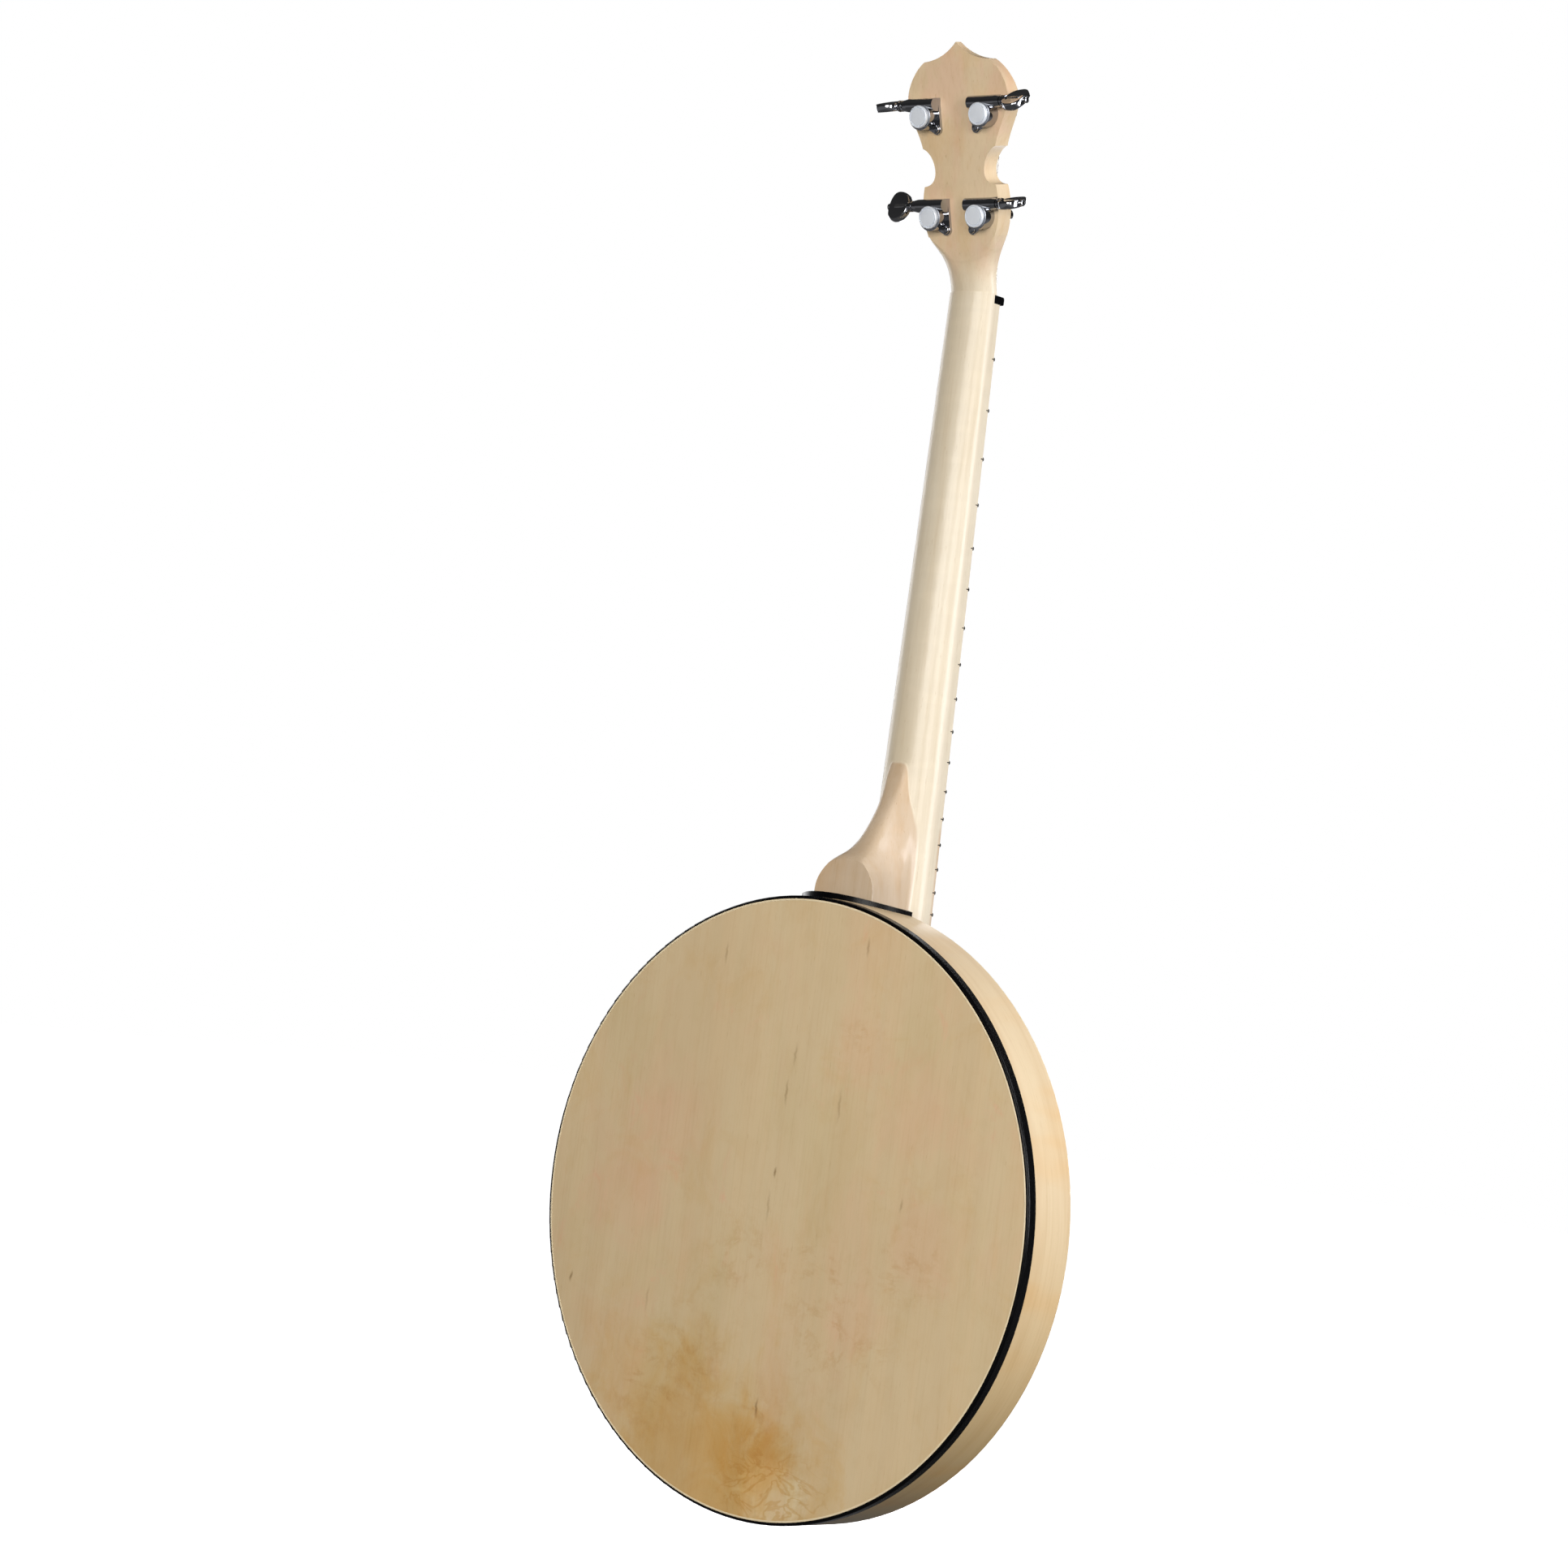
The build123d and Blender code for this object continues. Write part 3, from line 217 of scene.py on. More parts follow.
def neck_maple():
    """Pale maple for the neck's shaft, a rosier block for the heel and a tanner one for the peghead."""
    material, tree, bsdf = surface("neck_maple")
    place = object_place(tree)
    pale, height = grain(tree, place, rgb(212, 200, 178), rgb(199, 182, 152), 0.4, 0.5)
    # Faint ripples of curl across the grain.
    curl = noise(tree, scaled(tree, place, (0.3, 0.3, 1)), 120.0, 1.0)
    pale = tinted(tree, spread(tree, curl, 0.5, 0.66, 0, 0.6), pale, (1.04, 1.04, 1.04, 1))
    tan = mixed(tree, 1.0, pale, TAN, "MULTIPLY")
    mottle = noise(tree, scaled(tree, place, (1, 1, 0.5), (2, 0, 5)), 60.0, 4.0, 0.6)
    tan = tinted(tree, spread(tree, mottle, 0.48, 0.7, 0, 0.8), tan, (0.97, 0.9, 0.8, 1))
    blush = noise(tree, scaled(tree, place, (1.4, 1, 0.5), (0, 1, 3)), 34.0, 4.0, 0.6)
    tan = tinted(tree, spread(tree, blush, 0.46, 0.62, 0, 0.9), tan, (1.02, 0.93, 0.97, 1))
    rosy = mixed(tree, 1.0, pale, ROSY, "MULTIPLY")
    clouds = noise(tree, scaled(tree, place, (1, 1, 0.4)), 70.0, 3.0, 0.6)
    rosy = tinted(tree, spread(tree, clouds, 0.45, 0.7, 0, 0.8), rosy, (0.96, 0.88, 0.78, 1))
    x, y, z = put(tree, "SeparateXYZ", {0: place}).outputs
    # Outside the shaft's own oval section is the glued heel.
    below_nut = math_node(tree, "SUBTRACT", NUT_Z, z)
    half_width = math_node(tree, "MULTIPLY_ADD", below_nut, SHAFT_WIDENING, SHAFT_HALF_WIDTH)
    depth = math_node(tree, "MULTIPLY_ADD", below_nut, SHAFT_DEEPENING, SHAFT_DEPTH)
    across = math_node(tree, "DIVIDE", x, half_width)
    back = math_node(tree, "DIVIDE", math_node(tree, "ADD", y, -SHAFT_MIDDLE_Y), depth)
    oval = math_node(tree, "MULTIPLY_ADD", across, across, squared(tree, back))
    proud = spread(tree, oval, *HEEL_PROUD)
    arched = math_node(tree, "MULTIPLY_ADD", squared(tree, x), HEEL_ARCH, z)
    low = spread(tree, arched, *HEEL_TOP, 1, 0)
    colour = mixed(tree, math_node(tree, "MULTIPLY", proud, low), pale, rosy)
    # The peghead's block starts along a shallow curve above the nut.
    along = math_node(tree, "MULTIPLY", math_node(tree, "SUBTRACT", z, NUT_Z), PEGHEAD_RISE)
    lean = math_node(tree, "MULTIPLY_ADD", y, PEGHEAD_LEAN, PEGHEAD_SHIFT)
    up = math_node(tree, "ADD", along, lean)
    bow = math_node(tree, "MULTIPLY", squared(tree, x), PEGHEAD_BOW)
    edge = math_node(tree, "SUBTRACT", up, bow)
    colour = mixed(tree, spread(tree, edge, *PEGHEAD_FADE), colour, tan)
    start, middle, end = GLUE_LINE
    rising = spread(tree, edge, start, middle)
    line = math_node(tree, "MULTIPLY", rising, spread(tree, edge, middle, end, 1, 0))
    colour = mixed(tree, math_node(tree, "MULTIPLY", line, 0.07), colour, rgb(150, 116, 80))
    lacquer(tree, bsdf, colour, height)
    return material


# The radius at which the unrolled grain has its true length.
UNROLLED_AT = 0.16


def round_the_pot(tree, place):
    """The place unrolled about the pot's axis, so grain runs along the bent wood, and the radius."""
    x, y, z = put(tree, "SeparateXYZ", {0: place}).outputs
    angle = math_node(tree, "ARCTAN2", x, z)
    radius = math_node(tree, "SQRT", math_node(tree, "MULTIPLY_ADD", z, z, squared(tree, x)))
    run = math_node(tree, "MULTIPLY", angle, UNROLLED_AT)
    return put(tree, "CombineXYZ", {0: y, 1: radius, 2: run}).outputs[0], radius


def wall_maple():
    """The resonator's bent wall, with flame figure across the grain and painted shade on its lower half."""
    material, tree, bsdf = surface("wall_maple")
    place, _ = round_the_pot(tree, object_place(tree))
    colour, height = grain(tree, place, rgb(216, 194, 158), rgb(200, 170, 128), 0.5, 0.6, 10.0)
    flame = noise(tree, scaled(tree, place, (0.35, 1, 1)), 42.0, 2.0, 0.5)
    colour = tinted(tree, spread(tree, flame, 0.48, 0.75, 0, 0.75), colour, (1.0, 0.88, 0.72, 1))
    # Painted shade: the lower half of the bent wood is tinted darker and more golden, for the shadow that falls on
    # it there.
    up = put(tree, "SeparateXYZ", {0: object_place(tree)}).outputs[2]
    low = spread(tree, up, -0.12, 0.05, 1, 0)
    colour = tinted(tree, low, colour, (1.0, 0.91, 0.7, 1))
    lacquer(tree, bsdf, colour, height)
    return material


# The burl's middle, its reach and how far its curling strokes go.
BURL_AT = (-0.02, 0.0, -0.146)
BURL_REACH, STROKE_REACH = 0.03, 0.045
# Middle of each amber cloud, its reach and how strong it is.
AMBER_AREAS = (
    ((-0.004, 0.0, -0.13), 0.045, 1.0),
    ((0.004, 0.0, -0.138), 0.06, 0.7),
    ((0.015, 0.0, -0.15), 0.12, 0.8),
    ((0.05, 0.0, -0.13), 0.095, 0.6),
    ((0.077, 0.0, -0.104), 0.06, 0.5),
    ((0.045, 0.0, -0.079), 0.035, 0.3),
)
# Middle of each rosy cloud, and its reach.
ROSY_AREAS = (
    ((-0.045, 0.0, 0.088), 0.045),
    ((-0.082, 0.0, 0.06), 0.05),
    ((0.107, 0.0, -0.006), 0.05),
    ((0.075, 0.0, 0.035), 0.04),
    ((-0.1, 0.0, -0.005), 0.045),
    ((-0.06, 0.0, -0.05), 0.035),
)
# Middle of each patch of curly figure, and its reach.
CURLY_AREAS = (
    ((0.022, 0.0, -0.027), 0.04),
    ((-0.036, 0.0, -0.034), 0.04),
    ((-0.052, 0.0, -0.067), 0.045),
    ((0.05, 0.0, -0.085), 0.055),
    ((-0.09, 0.0, -0.02), 0.035),
    ((-0.006, 0.0, -0.11), 0.04),
    ((0.08, 0.0, -0.11), 0.04),
    ((-0.046, 0.0, 0.098), 0.02),
)
STREAK_WIDTH = 0.0013
# Middle of each mineral streak, half its length, and how dark it is.
STREAKS = (
    ((0.0, 0.0, 0.08), 0.008, 0.5),
    ((0.003, 0.0, 0.06), 0.01, 0.6),
    ((0.004, 0.0, 0.018), 0.004, 1.0),
    ((0.006, 0.0, 0.0), 0.012, 0.4),
    ((0.056, 0.0, 0.128), 0.008, 0.5),
    ((-0.04, 0.0, 0.14), 0.007, 0.6),
    ((-0.0335, 0.0, 0.057), 0.012, 0.45),
    ((-0.003, 0.0, -0.104), 0.007, 0.9),
    ((0.139, 0.0, -0.056), 0.004, 1.0),
    ((-0.082, 0.0, 0.012), 0.005, 0.5),
    ((0.082, 0.0, -0.06), 0.01, 0.3),
)


def near(tree, place, centre, reach, squash=(1, 1, 1)):
    """1 at centre, falling to 0 at reach."""
    shifted = put(tree, "VectorMath", {0: place, 1: centre}, operation="SUBTRACT").outputs[0]
    shaped = put(tree, "VectorMath", {0: shifted, 1: squash}, operation="MULTIPLY").outputs[0]
    away = put(tree, "VectorMath", {0: shaped}, operation="LENGTH").outputs["Value"]
    return spread(tree, away, 0.0, reach, 1.0, 0.0)


def back_veneer():
    """The resonator's back: pale tan veneer, rosy clouds, mineral streaks and an amber, burled foot."""
    material, tree, bsdf = surface("back_veneer")
    place = object_place(tree)
    colour, height = grain(tree, place, rgb(207, 185, 147), rgb(201, 177, 139), 0.3, 0.7, 5.0, 26.0)
    bands = noise(tree, scaled(tree, place, (1, 1, 0.08)), 60.0, 3.0, 0.6)
    colour = tinted(tree, spread(tree, bands, 0.42, 0.62), colour, (1.02, 1.005, 0.995, 1))
    hazy = noise(tree, scaled(tree, place, (1, 1, 0.6)), 17.0, 5.0, 0.6, 0.6)
    colour = tinted(tree, spread(tree, hazy, 0.5, 0.68, 0, 0.9), colour, (1.01, 0.955, 0.96, 1))
    shade = noise(tree, scaled(tree, place, (1, 1, 0.45), (3, 1, 2)), 20.0, 4.0, 0.6)
    colour = tinted(tree, spread(tree, shade, 0.48, 0.66, 0, 0.9), colour, (0.965, 0.975, 0.94, 1))
    fine = noise(tree, scaled(tree, place, (1, 1, 0.7), (0, 2, 1)), 85.0, 5.0, 0.65, 0.5)
    colour = tinted(tree, spread(tree, fine, 0.45, 0.66, 0, 0.8), colour, (0.975, 0.96, 0.935, 1))
    wisps = noise(tree, scaled(tree, place, (1, 1, 0.7)), 42.0, 5.0, 0.65, 0.8)
    patchy = math_node(tree, "MULTIPLY_ADD", wisps, 2.0, -1.0)
    for centre, reach in ROSY_AREAS:
        cloud = math_node(tree, "ADD", near(tree, place, centre, reach), patchy)
        colour = tinted(tree, spread(tree, cloud, 0.2, 0.9, 0, 0.75), colour, (1.03, 0.945, 0.96, 1))
    # Short curly wisps of figure, warmer than the ground.
    curly = noise(tree, scaled(tree, place, (1, 1, 1.4)), 38.0, 6.0, 0.7, 0.5)
    ridge = math_node(tree, "ABSOLUTE", math_node(tree, "SUBTRACT", curly, 0.5))
    smudge = noise(tree, scaled(tree, place, (1, 1, 1), (4, 0, 1)), 90.0, 4.0, 0.65)
    faint = spread(tree, smudge, 0.4, 0.65)
    wisp = math_node(tree, "MULTIPLY", spread(tree, ridge, 0.0, 0.085, 1, 0), faint)
    figured = spread(tree, noise(tree, place, 22.0, 3.0, 0.6), 0.56, 0.7, 0, 0.35)
    for centre, reach in CURLY_AREAS:
        figured = math_node(tree, "ADD", figured, near(tree, place, centre, reach))
    figure = math_node(tree, "MULTIPLY", wisp, math_node(tree, "MINIMUM", figured, 1.0))
    colour = tinted(tree, figure, colour, (0.91, 0.84, 0.75, 1))
    # The amber foot fans up to one side and has a ragged edge.
    ragged = noise(tree, scaled(tree, place, (1, 1, 0.8)), 30.0, 6.0, 0.66, 0.9)
    offset = math_node(tree, "MULTIPLY_ADD", ragged, 1.8, -0.9)
    blotch = spread(tree, ragged, 0.5, 0.72, 0, 0.8)
    colour = tinted(tree, blotch, colour, (0.975, 0.93, 0.85, 1))
    for centre, reach, strength in AMBER_AREAS:
        closeness = near(tree, place, centre, reach)
        warm = spread(tree, math_node(tree, "ADD", closeness, offset), 0.0, 0.9, 0, strength)
        amount = math_node(tree, "MULTIPLY", warm, spread(tree, closeness, 0.0, 0.35))
        colour = tinted(tree, amount, colour, (0.96, 0.86, 0.66, 1))
    # The burl: a creamy middle, crossed by dark curling strokes.
    cream = noise(tree, scaled(tree, place, (1, 1, 1.5)), 70.0, 3.0, 0.55, 1.5)
    middle = near(tree, place, BURL_AT, BURL_REACH, (0.7, 1, 1))
    burl = math_node(tree, "MULTIPLY", middle, cream)
    colour = tinted(tree, spread(tree, burl, 0.1, 0.4), colour, (1.16, 1.3, 1.6, 1))
    curl = noise(tree, scaled(tree, place, (1, 1, 1.8), (1, 0, 3)), 44.0, 3.0, 0.5, 1.6)
    crest = math_node(tree, "ABSOLUTE", math_node(tree, "SUBTRACT", curl, 0.5))
    stroke = spread(tree, crest, 0.0, 0.075, 1, 0)
    around = near(tree, place, BURL_AT, STROKE_REACH, (0.7, 1, 1.1))
    knotty = math_node(tree, "MULTIPLY", around, stroke)
    colour = tinted(tree, spread(tree, knotty, 0.1, 0.8), colour, (0.9, 0.81, 0.66, 1))
    # Mineral streaks, thin and dark, that wander a little along the grain.
    sway = noise(tree, scaled(tree, place, (0, 0, 1)), 160.0, 2.0)
    drift = math_node(tree, "MULTIPLY_ADD", sway, 0.004, -0.002)
    shift = put(tree, "CombineXYZ", {0: drift}).outputs[0]
    bent = put(tree, "VectorMath", {0: place, 1: shift}, operation="ADD").outputs[0]
    for centre, length, depth in STREAKS:
        mark = near(tree, bent, centre, length, (length / STREAK_WIDTH, 1, 1))
        amount = math_node(tree, "MULTIPLY", mark, depth)
        colour = tinted(tree, amount, colour, (0.5, 0.44, 0.36, 1))
    lacquer(tree, bsdf, colour, height, 0.46, 0.12)
    return material


PLY_THICKNESS = 0.0027


def pot_maple():
    """The laminated rim, whose plies show as thin rings on its edges."""
    material, tree, bsdf = surface("pot_maple")
    place, radius = round_the_pot(tree, object_place(tree))
    colour, height = grain(tree, place, rgb(206, 170, 120), rgb(182, 138, 88), 0.5, 0.6, 10.0)
    ply = math_node(tree, "FRACT", math_node(tree, "MULTIPLY", radius, 1 / PLY_THICKNESS))
    glue = math_node(tree, "LESS_THAN", ply, 0.09)
    colour = tinted(tree, math_node(tree, "MULTIPLY", glue, 0.8), colour, (0.5, 0.36, 0.22, 1))
    lacquer(tree, bsdf, colour, height, 0.4, 0.3)
    return material


def bridge_maple():
    """The bridge's maple, whose grain runs across the strings."""
    material, tree, bsdf = surface("bridge_maple")
    place = scaled(tree, object_place(tree), (0.1, 1, 1))
    turned = put(tree, "Mapping", {"Vector": place, "Rotation": (0, math.pi / 2, 0)}).outputs[0]
    colour, height = grain(tree, turned, rgb(222, 190, 140), rgb(196, 156, 104), 0.6, 0.6)
    lacquer(tree, bsdf, colour, height, 0.55, 0.05)
    return material


def dark_wood():
    """Oiled dark hardwood with open pores."""
    material, tree, bsdf = surface("dark_wood")
    place = object_place(tree)
    colour, height = grain(tree, place, rgb(58, 44, 38), rgb(30, 22, 20), 0.8, 0.9, 20.0, 90.0)
    lacquer(tree, bsdf, colour, height, 0.48, 0.06)
    return material


# ---------------------------------------------------------------- plastics and metals
def black_binding():
    """Glossy black plastic with fine scuffs."""
    material, tree, bsdf = surface("black_binding")
    place = object_place(tree)
    waves = noise(tree, place, 180.0, 2.0)
    scuff = noise(tree, scaled(tree, place, (1, 1, 0.2)), 1400.0, 2.0)
    colour = mixed(tree, spread(tree, scuff, 0.6, 0.8, 0, 0.5), rgb(5, 5, 6), rgb(14, 14, 16))
    values = {
        "Base Color": colour,
        "Roughness": spread(tree, scuff, 0.4, 0.8, 0.24, 0.36),
        "Specular IOR Level": 0.12,
    }
    set_inputs(tree, bsdf, values)
    bumped(tree, bsdf, waves, 0.0001, 0.2)
    return material


def painted_edge_highlight():
    """Pale ivory colour for the ring inside the binding: a painted highlight, standing for the light caught on the
    back plate's rounded edge.
    """
    material, tree, bsdf = surface("painted_edge_highlight")
    place = object_place(tree)
    tone = noise(tree, place, 90.0, 2.0)
    colour = mixed(tree, tone, rgb(214, 196, 158), rgb(232, 216, 184))
    set_inputs(tree, bsdf, {"Base Color": colour, "Roughness": 0.35, "Coat Weight": 0.2})
    bumped(tree, bsdf, noise(tree, place, 500.0), 0.00005, 0.4)
    return material


def drum_film():
    """The frosted plastic head, a little worn where fingers brush it."""
    material, tree, bsdf = surface("drum_film")
    place = object_place(tree)
    frost = noise(tree, place, 2600.0, 2.0, 0.6)
    haze = noise(tree, place, 14.0, 4.0, 0.6)
    colour = mixed(tree, spread(tree, haze, 0.35, 0.7), rgb(238, 236, 230), rgb(229, 225, 215))
    values = {
        "Base Color": colour,
        "Roughness": spread(tree, haze, 0.3, 0.7, 0.5, 0.62),
        "Subsurface Weight": 0.15,
        "Subsurface Scale": 0.002,
        "Subsurface Radius": (0.6, 0.55, 0.5),
        "Sheen Weight": 0.1,
    }
    set_inputs(tree, bsdf, values)
    bumped(tree, bsdf, frost, 0.00008, 0.5)
    return material


def plated(name, tint, roughness, cloud=0.04, metallic=1.0):
    """Polished plating with faint cleaning marks."""
    material, tree, bsdf = surface(name)
    place = object_place(tree)
    smear = noise(tree, scaled(tree, place, (1, 1, 0.5)), 130.0, 4.0, 0.6)
    hair = noise(tree, scaled(tree, place, (1, 0.1, 1)), 2600.0, 2.0, 0.6)
    dull = mixed(tree, 1.0, tint, (0.9, 0.9, 0.92, 1), "MULTIPLY")
    values = {
        "Metallic": metallic,
        "Base Color": mixed(tree, spread(tree, smear, 0.45, 0.7, 0, 0.7), tint, dull),
        "Roughness": spread(tree, smear, 0.35, 0.75, roughness, roughness + cloud),
    }
    set_inputs(tree, bsdf, values)
    bumped(tree, bsdf, hair, 0.00001, 0.25)
    return material


WRAPS_PER_METRE = 3300.0


def drawn_wire(name, turns=0.0):
    """Steel wire; with turns to the metre it is wrapped with a second, finer wire."""
    material, tree, bsdf = surface(name)
    place = object_place(tree)
    lines = noise(tree, scaled(tree, place, (1, 1, 0.02)), 5000.0, 2.0)
    height = lines
    if turns:
        along = put(tree, "SeparateXYZ", {0: place}).outputs[2]
        height = math_node(tree, "SINE", math_node(tree, "MULTIPLY", along, turns * 2 * math.pi))
    colour = mixed(tree, lines, rgb(196, 194, 188), rgb(228, 226, 220))
    values = {"Metallic": 1.0, "Base Color": colour, "Roughness": 0.24}
    set_inputs(tree, bsdf, values)
    bumped(tree, bsdf, height, 0.00003, 0.5)
    return material


MATERIALS = {
    "blond_maple": neck_maple(),
    "wall_maple": wall_maple(),
    "back_veneer": back_veneer(),
    "pot_maple": pot_maple(),
    "bridge_maple": bridge_maple(),
    "dark_wood": dark_wood(),
    "black_binding": black_binding(),
    "painted_edge_highlight": painted_edge_highlight(),
    "drum_film": drum_film(),
    "nickel": plated("nickel", rgb(222, 219, 212), 0.13),
    "chrome_plate": plated("chrome_plate", rgb(176, 177, 181), 0.05),
    "cap_plate": plated("cap_plate", rgb(226, 231, 238), 0.34, 0.08, 0.2),
    "shaft_steel": plated("shaft_steel", rgb(190, 190, 190), 0.25),
    "gear_brass": plated("gear_brass", rgb(206, 172, 104), 0.25),
    "fret_wire": plated("fret_wire", rgb(216, 214, 208), 0.16),
    "string_steel": drawn_wire("string_steel"),
    "wound_steel": drawn_wire("wound_steel", WRAPS_PER_METRE),
}


def dress(piece, material_name):
    """Gives the piece that material and no other."""
    piece.data.materials.clear()
    piece.data.materials.append(MATERIALS[material_name])


for entry in frame["record"]["subparts"]:
    dress(NODES[entry["node"]], entry["material_slot"])
dress(NODES["resonator_wall"], "wall_maple")


# ---------------------------------------------------------------- shape helpers
# Edges sharper than this stay crisp under smooth shading.
CRISP_ANGLE = math.radians(38)
BEVEL_ANGLE = math.radians(40)


def finished(name, shape, body, material, slot, *nodes):
    """Makes the piece from its bmesh: it rides on body and stands for the CAD nodes named."""
    mesh = bpy.data.meshes.new(name)
    bmesh.ops.recalc_face_normals(shape, faces=shape.faces)
    shape.to_mesh(mesh)
    shape.free()
    mesh.materials.append(MATERIALS[material])
    mesh.shade_smooth()
    mesh.set_sharp_from_angle(angle=CRISP_ANGLE)
    piece = bpy.data.objects.new(name, mesh)
    bpy.context.scene.collection.objects.link(piece)
    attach(piece, body)
    if nodes:
        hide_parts(*nodes)
    return piece


def skin(shape, rings):
    """Joins rings of vertices and closes both ends; a ring of one vertex is a point."""
    for low, high in zip(rings, rings[1:]):
        count = max(len(low), len(high))
        for k in range(count):
            after = (k + 1) % count
            corners = [low[k % len(low)], low[after % len(low)]]
            corners += [high[after % len(high)], high[k % len(high)]]
            corners = list(dict.fromkeys(corners))
            if len(corners) > 2:
                shape.faces.new(corners)
    for end in (rings[0], rings[-1]):
        if len(end) > 2:
            shape.faces.new(end)


def tube(shape, points, radii, sides=12):
    """A round bar along points; radii is one number, or one for each point."""
    rings = []
    normal = None
    for i, point in enumerate(points):
        ahead = (points[min(i + 1, len(points) - 1)] - points[max(i - 1, 0)]).normalized()
        if normal is None:
            normal = ahead.orthogonal()
        normal = (normal - ahead * normal.dot(ahead)).normalized()
        side = ahead.cross(normal)
        radius = radii if isinstance(radii, float) else radii[i]
        rings.append([])
        for k in range(sides):
            a = 2 * math.pi * k / sides
            around = normal * math.cos(a) + side * math.sin(a)
            rings[-1].append(shape.verts.new(point + around * radius))
    skin(shape, rings)


def turned(shape, profile, place, outline=None, sides=48, centre=(0, 0)):
    """Stacks the outline, a circle if none is given, at each (scale, height) of profile."""
    if outline is None:
        angles = [2 * math.pi * k / sides for k in range(sides)]
        outline = [(math.cos(a), math.sin(a)) for a in angles]
    rings = []
    for scale, height in profile:
        points = outline if scale else outline[:1]
        rings.append([])
        for x, y in points:
            at = Vector((centre[0] + x * scale, centre[1] + y * scale, height))
            rings[-1].append(shape.verts.new(place @ at))
    skin(shape, rings)


def carved(piece, cutter_shape):
    """Cuts the cutter's shape, whose parts may overlap, out of the piece."""
    mesh = bpy.data.meshes.new("cutter")
    bmesh.ops.recalc_face_normals(cutter_shape, faces=cutter_shape.faces)
    cutter_shape.to_mesh(mesh)
    cutter_shape.free()
    cutter = bpy.data.objects.new("cutter", mesh)
    bpy.context.scene.collection.objects.link(cutter)
    cut = piece.modifiers.new("cut", "BOOLEAN")
    cut.object = cutter
    cut.operation = "DIFFERENCE"
    cut.solver = "EXACT"
    cut.use_self = True
    bpy.context.view_layer.update()
    graph = bpy.context.evaluated_depsgraph_get()
    made = bpy.data.meshes.new_from_object(piece.evaluated_get(graph))
    piece.modifiers.clear()
    made.set_sharp_from_angle(angle=CRISP_ANGLE)
    piece.data = made
    bpy.data.objects.remove(cutter)


def box_at(shape, place, size, centre=(0, 0, 0)):
    """A block of that size, centred on a point of place."""
    move = place @ Matrix.Translation(centre) @ Matrix.Diagonal((*size, 1))
    bmesh.ops.create_cube(shape, size=1.0, matrix=move)


def frame_of(origin, x_axis, z_axis):
    """A matrix whose local x and z point that way."""
    x_axis, z_axis = Vector(x_axis).normalized(), Vector(z_axis).normalized()
    turn = Matrix((x_axis, z_axis.cross(x_axis), z_axis)).transposed().to_4x4()
    return Matrix.Translation(origin) @ turn


def rounded(piece, width, segments=3):
    """Breaks the piece's sharp edges."""
    bevel = piece.modifiers.new("rounded", "BEVEL")
    bevel.width = width
    bevel.segments = segments
    bevel.limit_method = "ANGLE"
    bevel.angle_limit = BEVEL_ANGLE


# ---------------------------------------------------------------- resonator details
# The ring that carries the painted highlight on the back plate's edge: radius and height of its section.
PAINTED_HIGHLIGHT_RING_PROFILE = (
    (0.1607, -0.0008), (0.1607, 0.00006), (0.1609, 0.00016),
    (0.1614, 0.00016), (0.1616, 0.00006), (0.1616, -0.0008),
)


def make_painted_highlight_ring():
    """A hairline ring of pale colour inside the black binding: a painted highlight of the light on the back
    plate's rounded edge, not a strip of wood.
    """
    shape = bmesh.new()
    facing_back = frame_of((0, 0, 0), (1, 0, 0), (0, 1, 0))
    turned(shape, PAINTED_HIGHLIGHT_RING_PROFILE, facing_back, sides=256)
    for face in [f for f in shape.faces if len(f.verts) > 4]:
        shape.faces.remove(face)
    finished("painted_highlight_ring", shape, "instrument", "painted_edge_highlight", "blond_maple")


make_painted_highlight_ring()

# ---------------------------------------------------------------- tuner details
PITCH = math.radians(14.0)
UP_PEGHEAD = Vector((0, math.sin(PITCH), math.cos(PITCH)))
OUT_OF_BACK = Vector((0, math.cos(PITCH), -math.sin(PITCH)))
BUTTON_TURN = {"bass_lower": 82.0, "bass_upper": 62.0, "treble_upper": 84.0, "treble_lower": 28.0}
JOINTS = {joint["name"]: joint for joint in frame["joints"]}
CAP_PROFILE = (
    (0.0, 0.0076), (0.006, 0.0076), (0.00608, 0.0086), (0.00592, 0.0091), (0.00556, 0.00938),
    (0.0053, 0.00938), (0.00515, 0.0089), (0.0050, 0.0087), (0.00485, 0.0089), (0.0047, 0.00934),
    (0.0034, 0.00944), (0.0018, 0.0095), (0.0, 0.00952),
)
BUTTON_MIDDLE = 0.0222
BUTTON_PROFILE = (
    (0.0, -0.00155), (0.45, -0.0016), (0.7, -0.0018), (0.86, -0.00215), (0.93, -0.00218),
    (0.975, -0.00185), (0.995, -0.0011), (1.0, 0.0), (0.995, 0.0011), (0.975, 0.00185),
    (0.93, 0.00218), (0.86, 0.00215), (0.7, 0.0018), (0.45, 0.0016), (0.0, 0.00155),
)
FERRULE_PROFILE = (
    (0.0, 0.0131), (0.0026, 0.0131), (0.003, 0.0134), (0.003, 0.0142), (0.0025, 0.0145),
    (0.0025, 0.0149), (0.003, 0.0152), (0.0031, 0.0158), (0.0027, 0.0166), (0.0, 0.0166),
)
TIP_PROFILE = (
    (0.0, 0.0285), (0.0017, 0.0285), (0.0019, 0.0291),
    (0.0018, 0.0297), (0.0012, 0.03), (0.0, 0.0301),
)
EAR_SCREW_PROFILE = (
    (0.0, -0.006), (0.0008, -0.0055), (0.0012, -0.004), (0.0012, 0.0018), (0.0022, 0.0018),
    (0.0022, 0.0022), (0.002, 0.0027), (0.0014, 0.003), (0.0, 0.0031),
)
EAR_SCREW_AT = (-0.0067, 0.007)
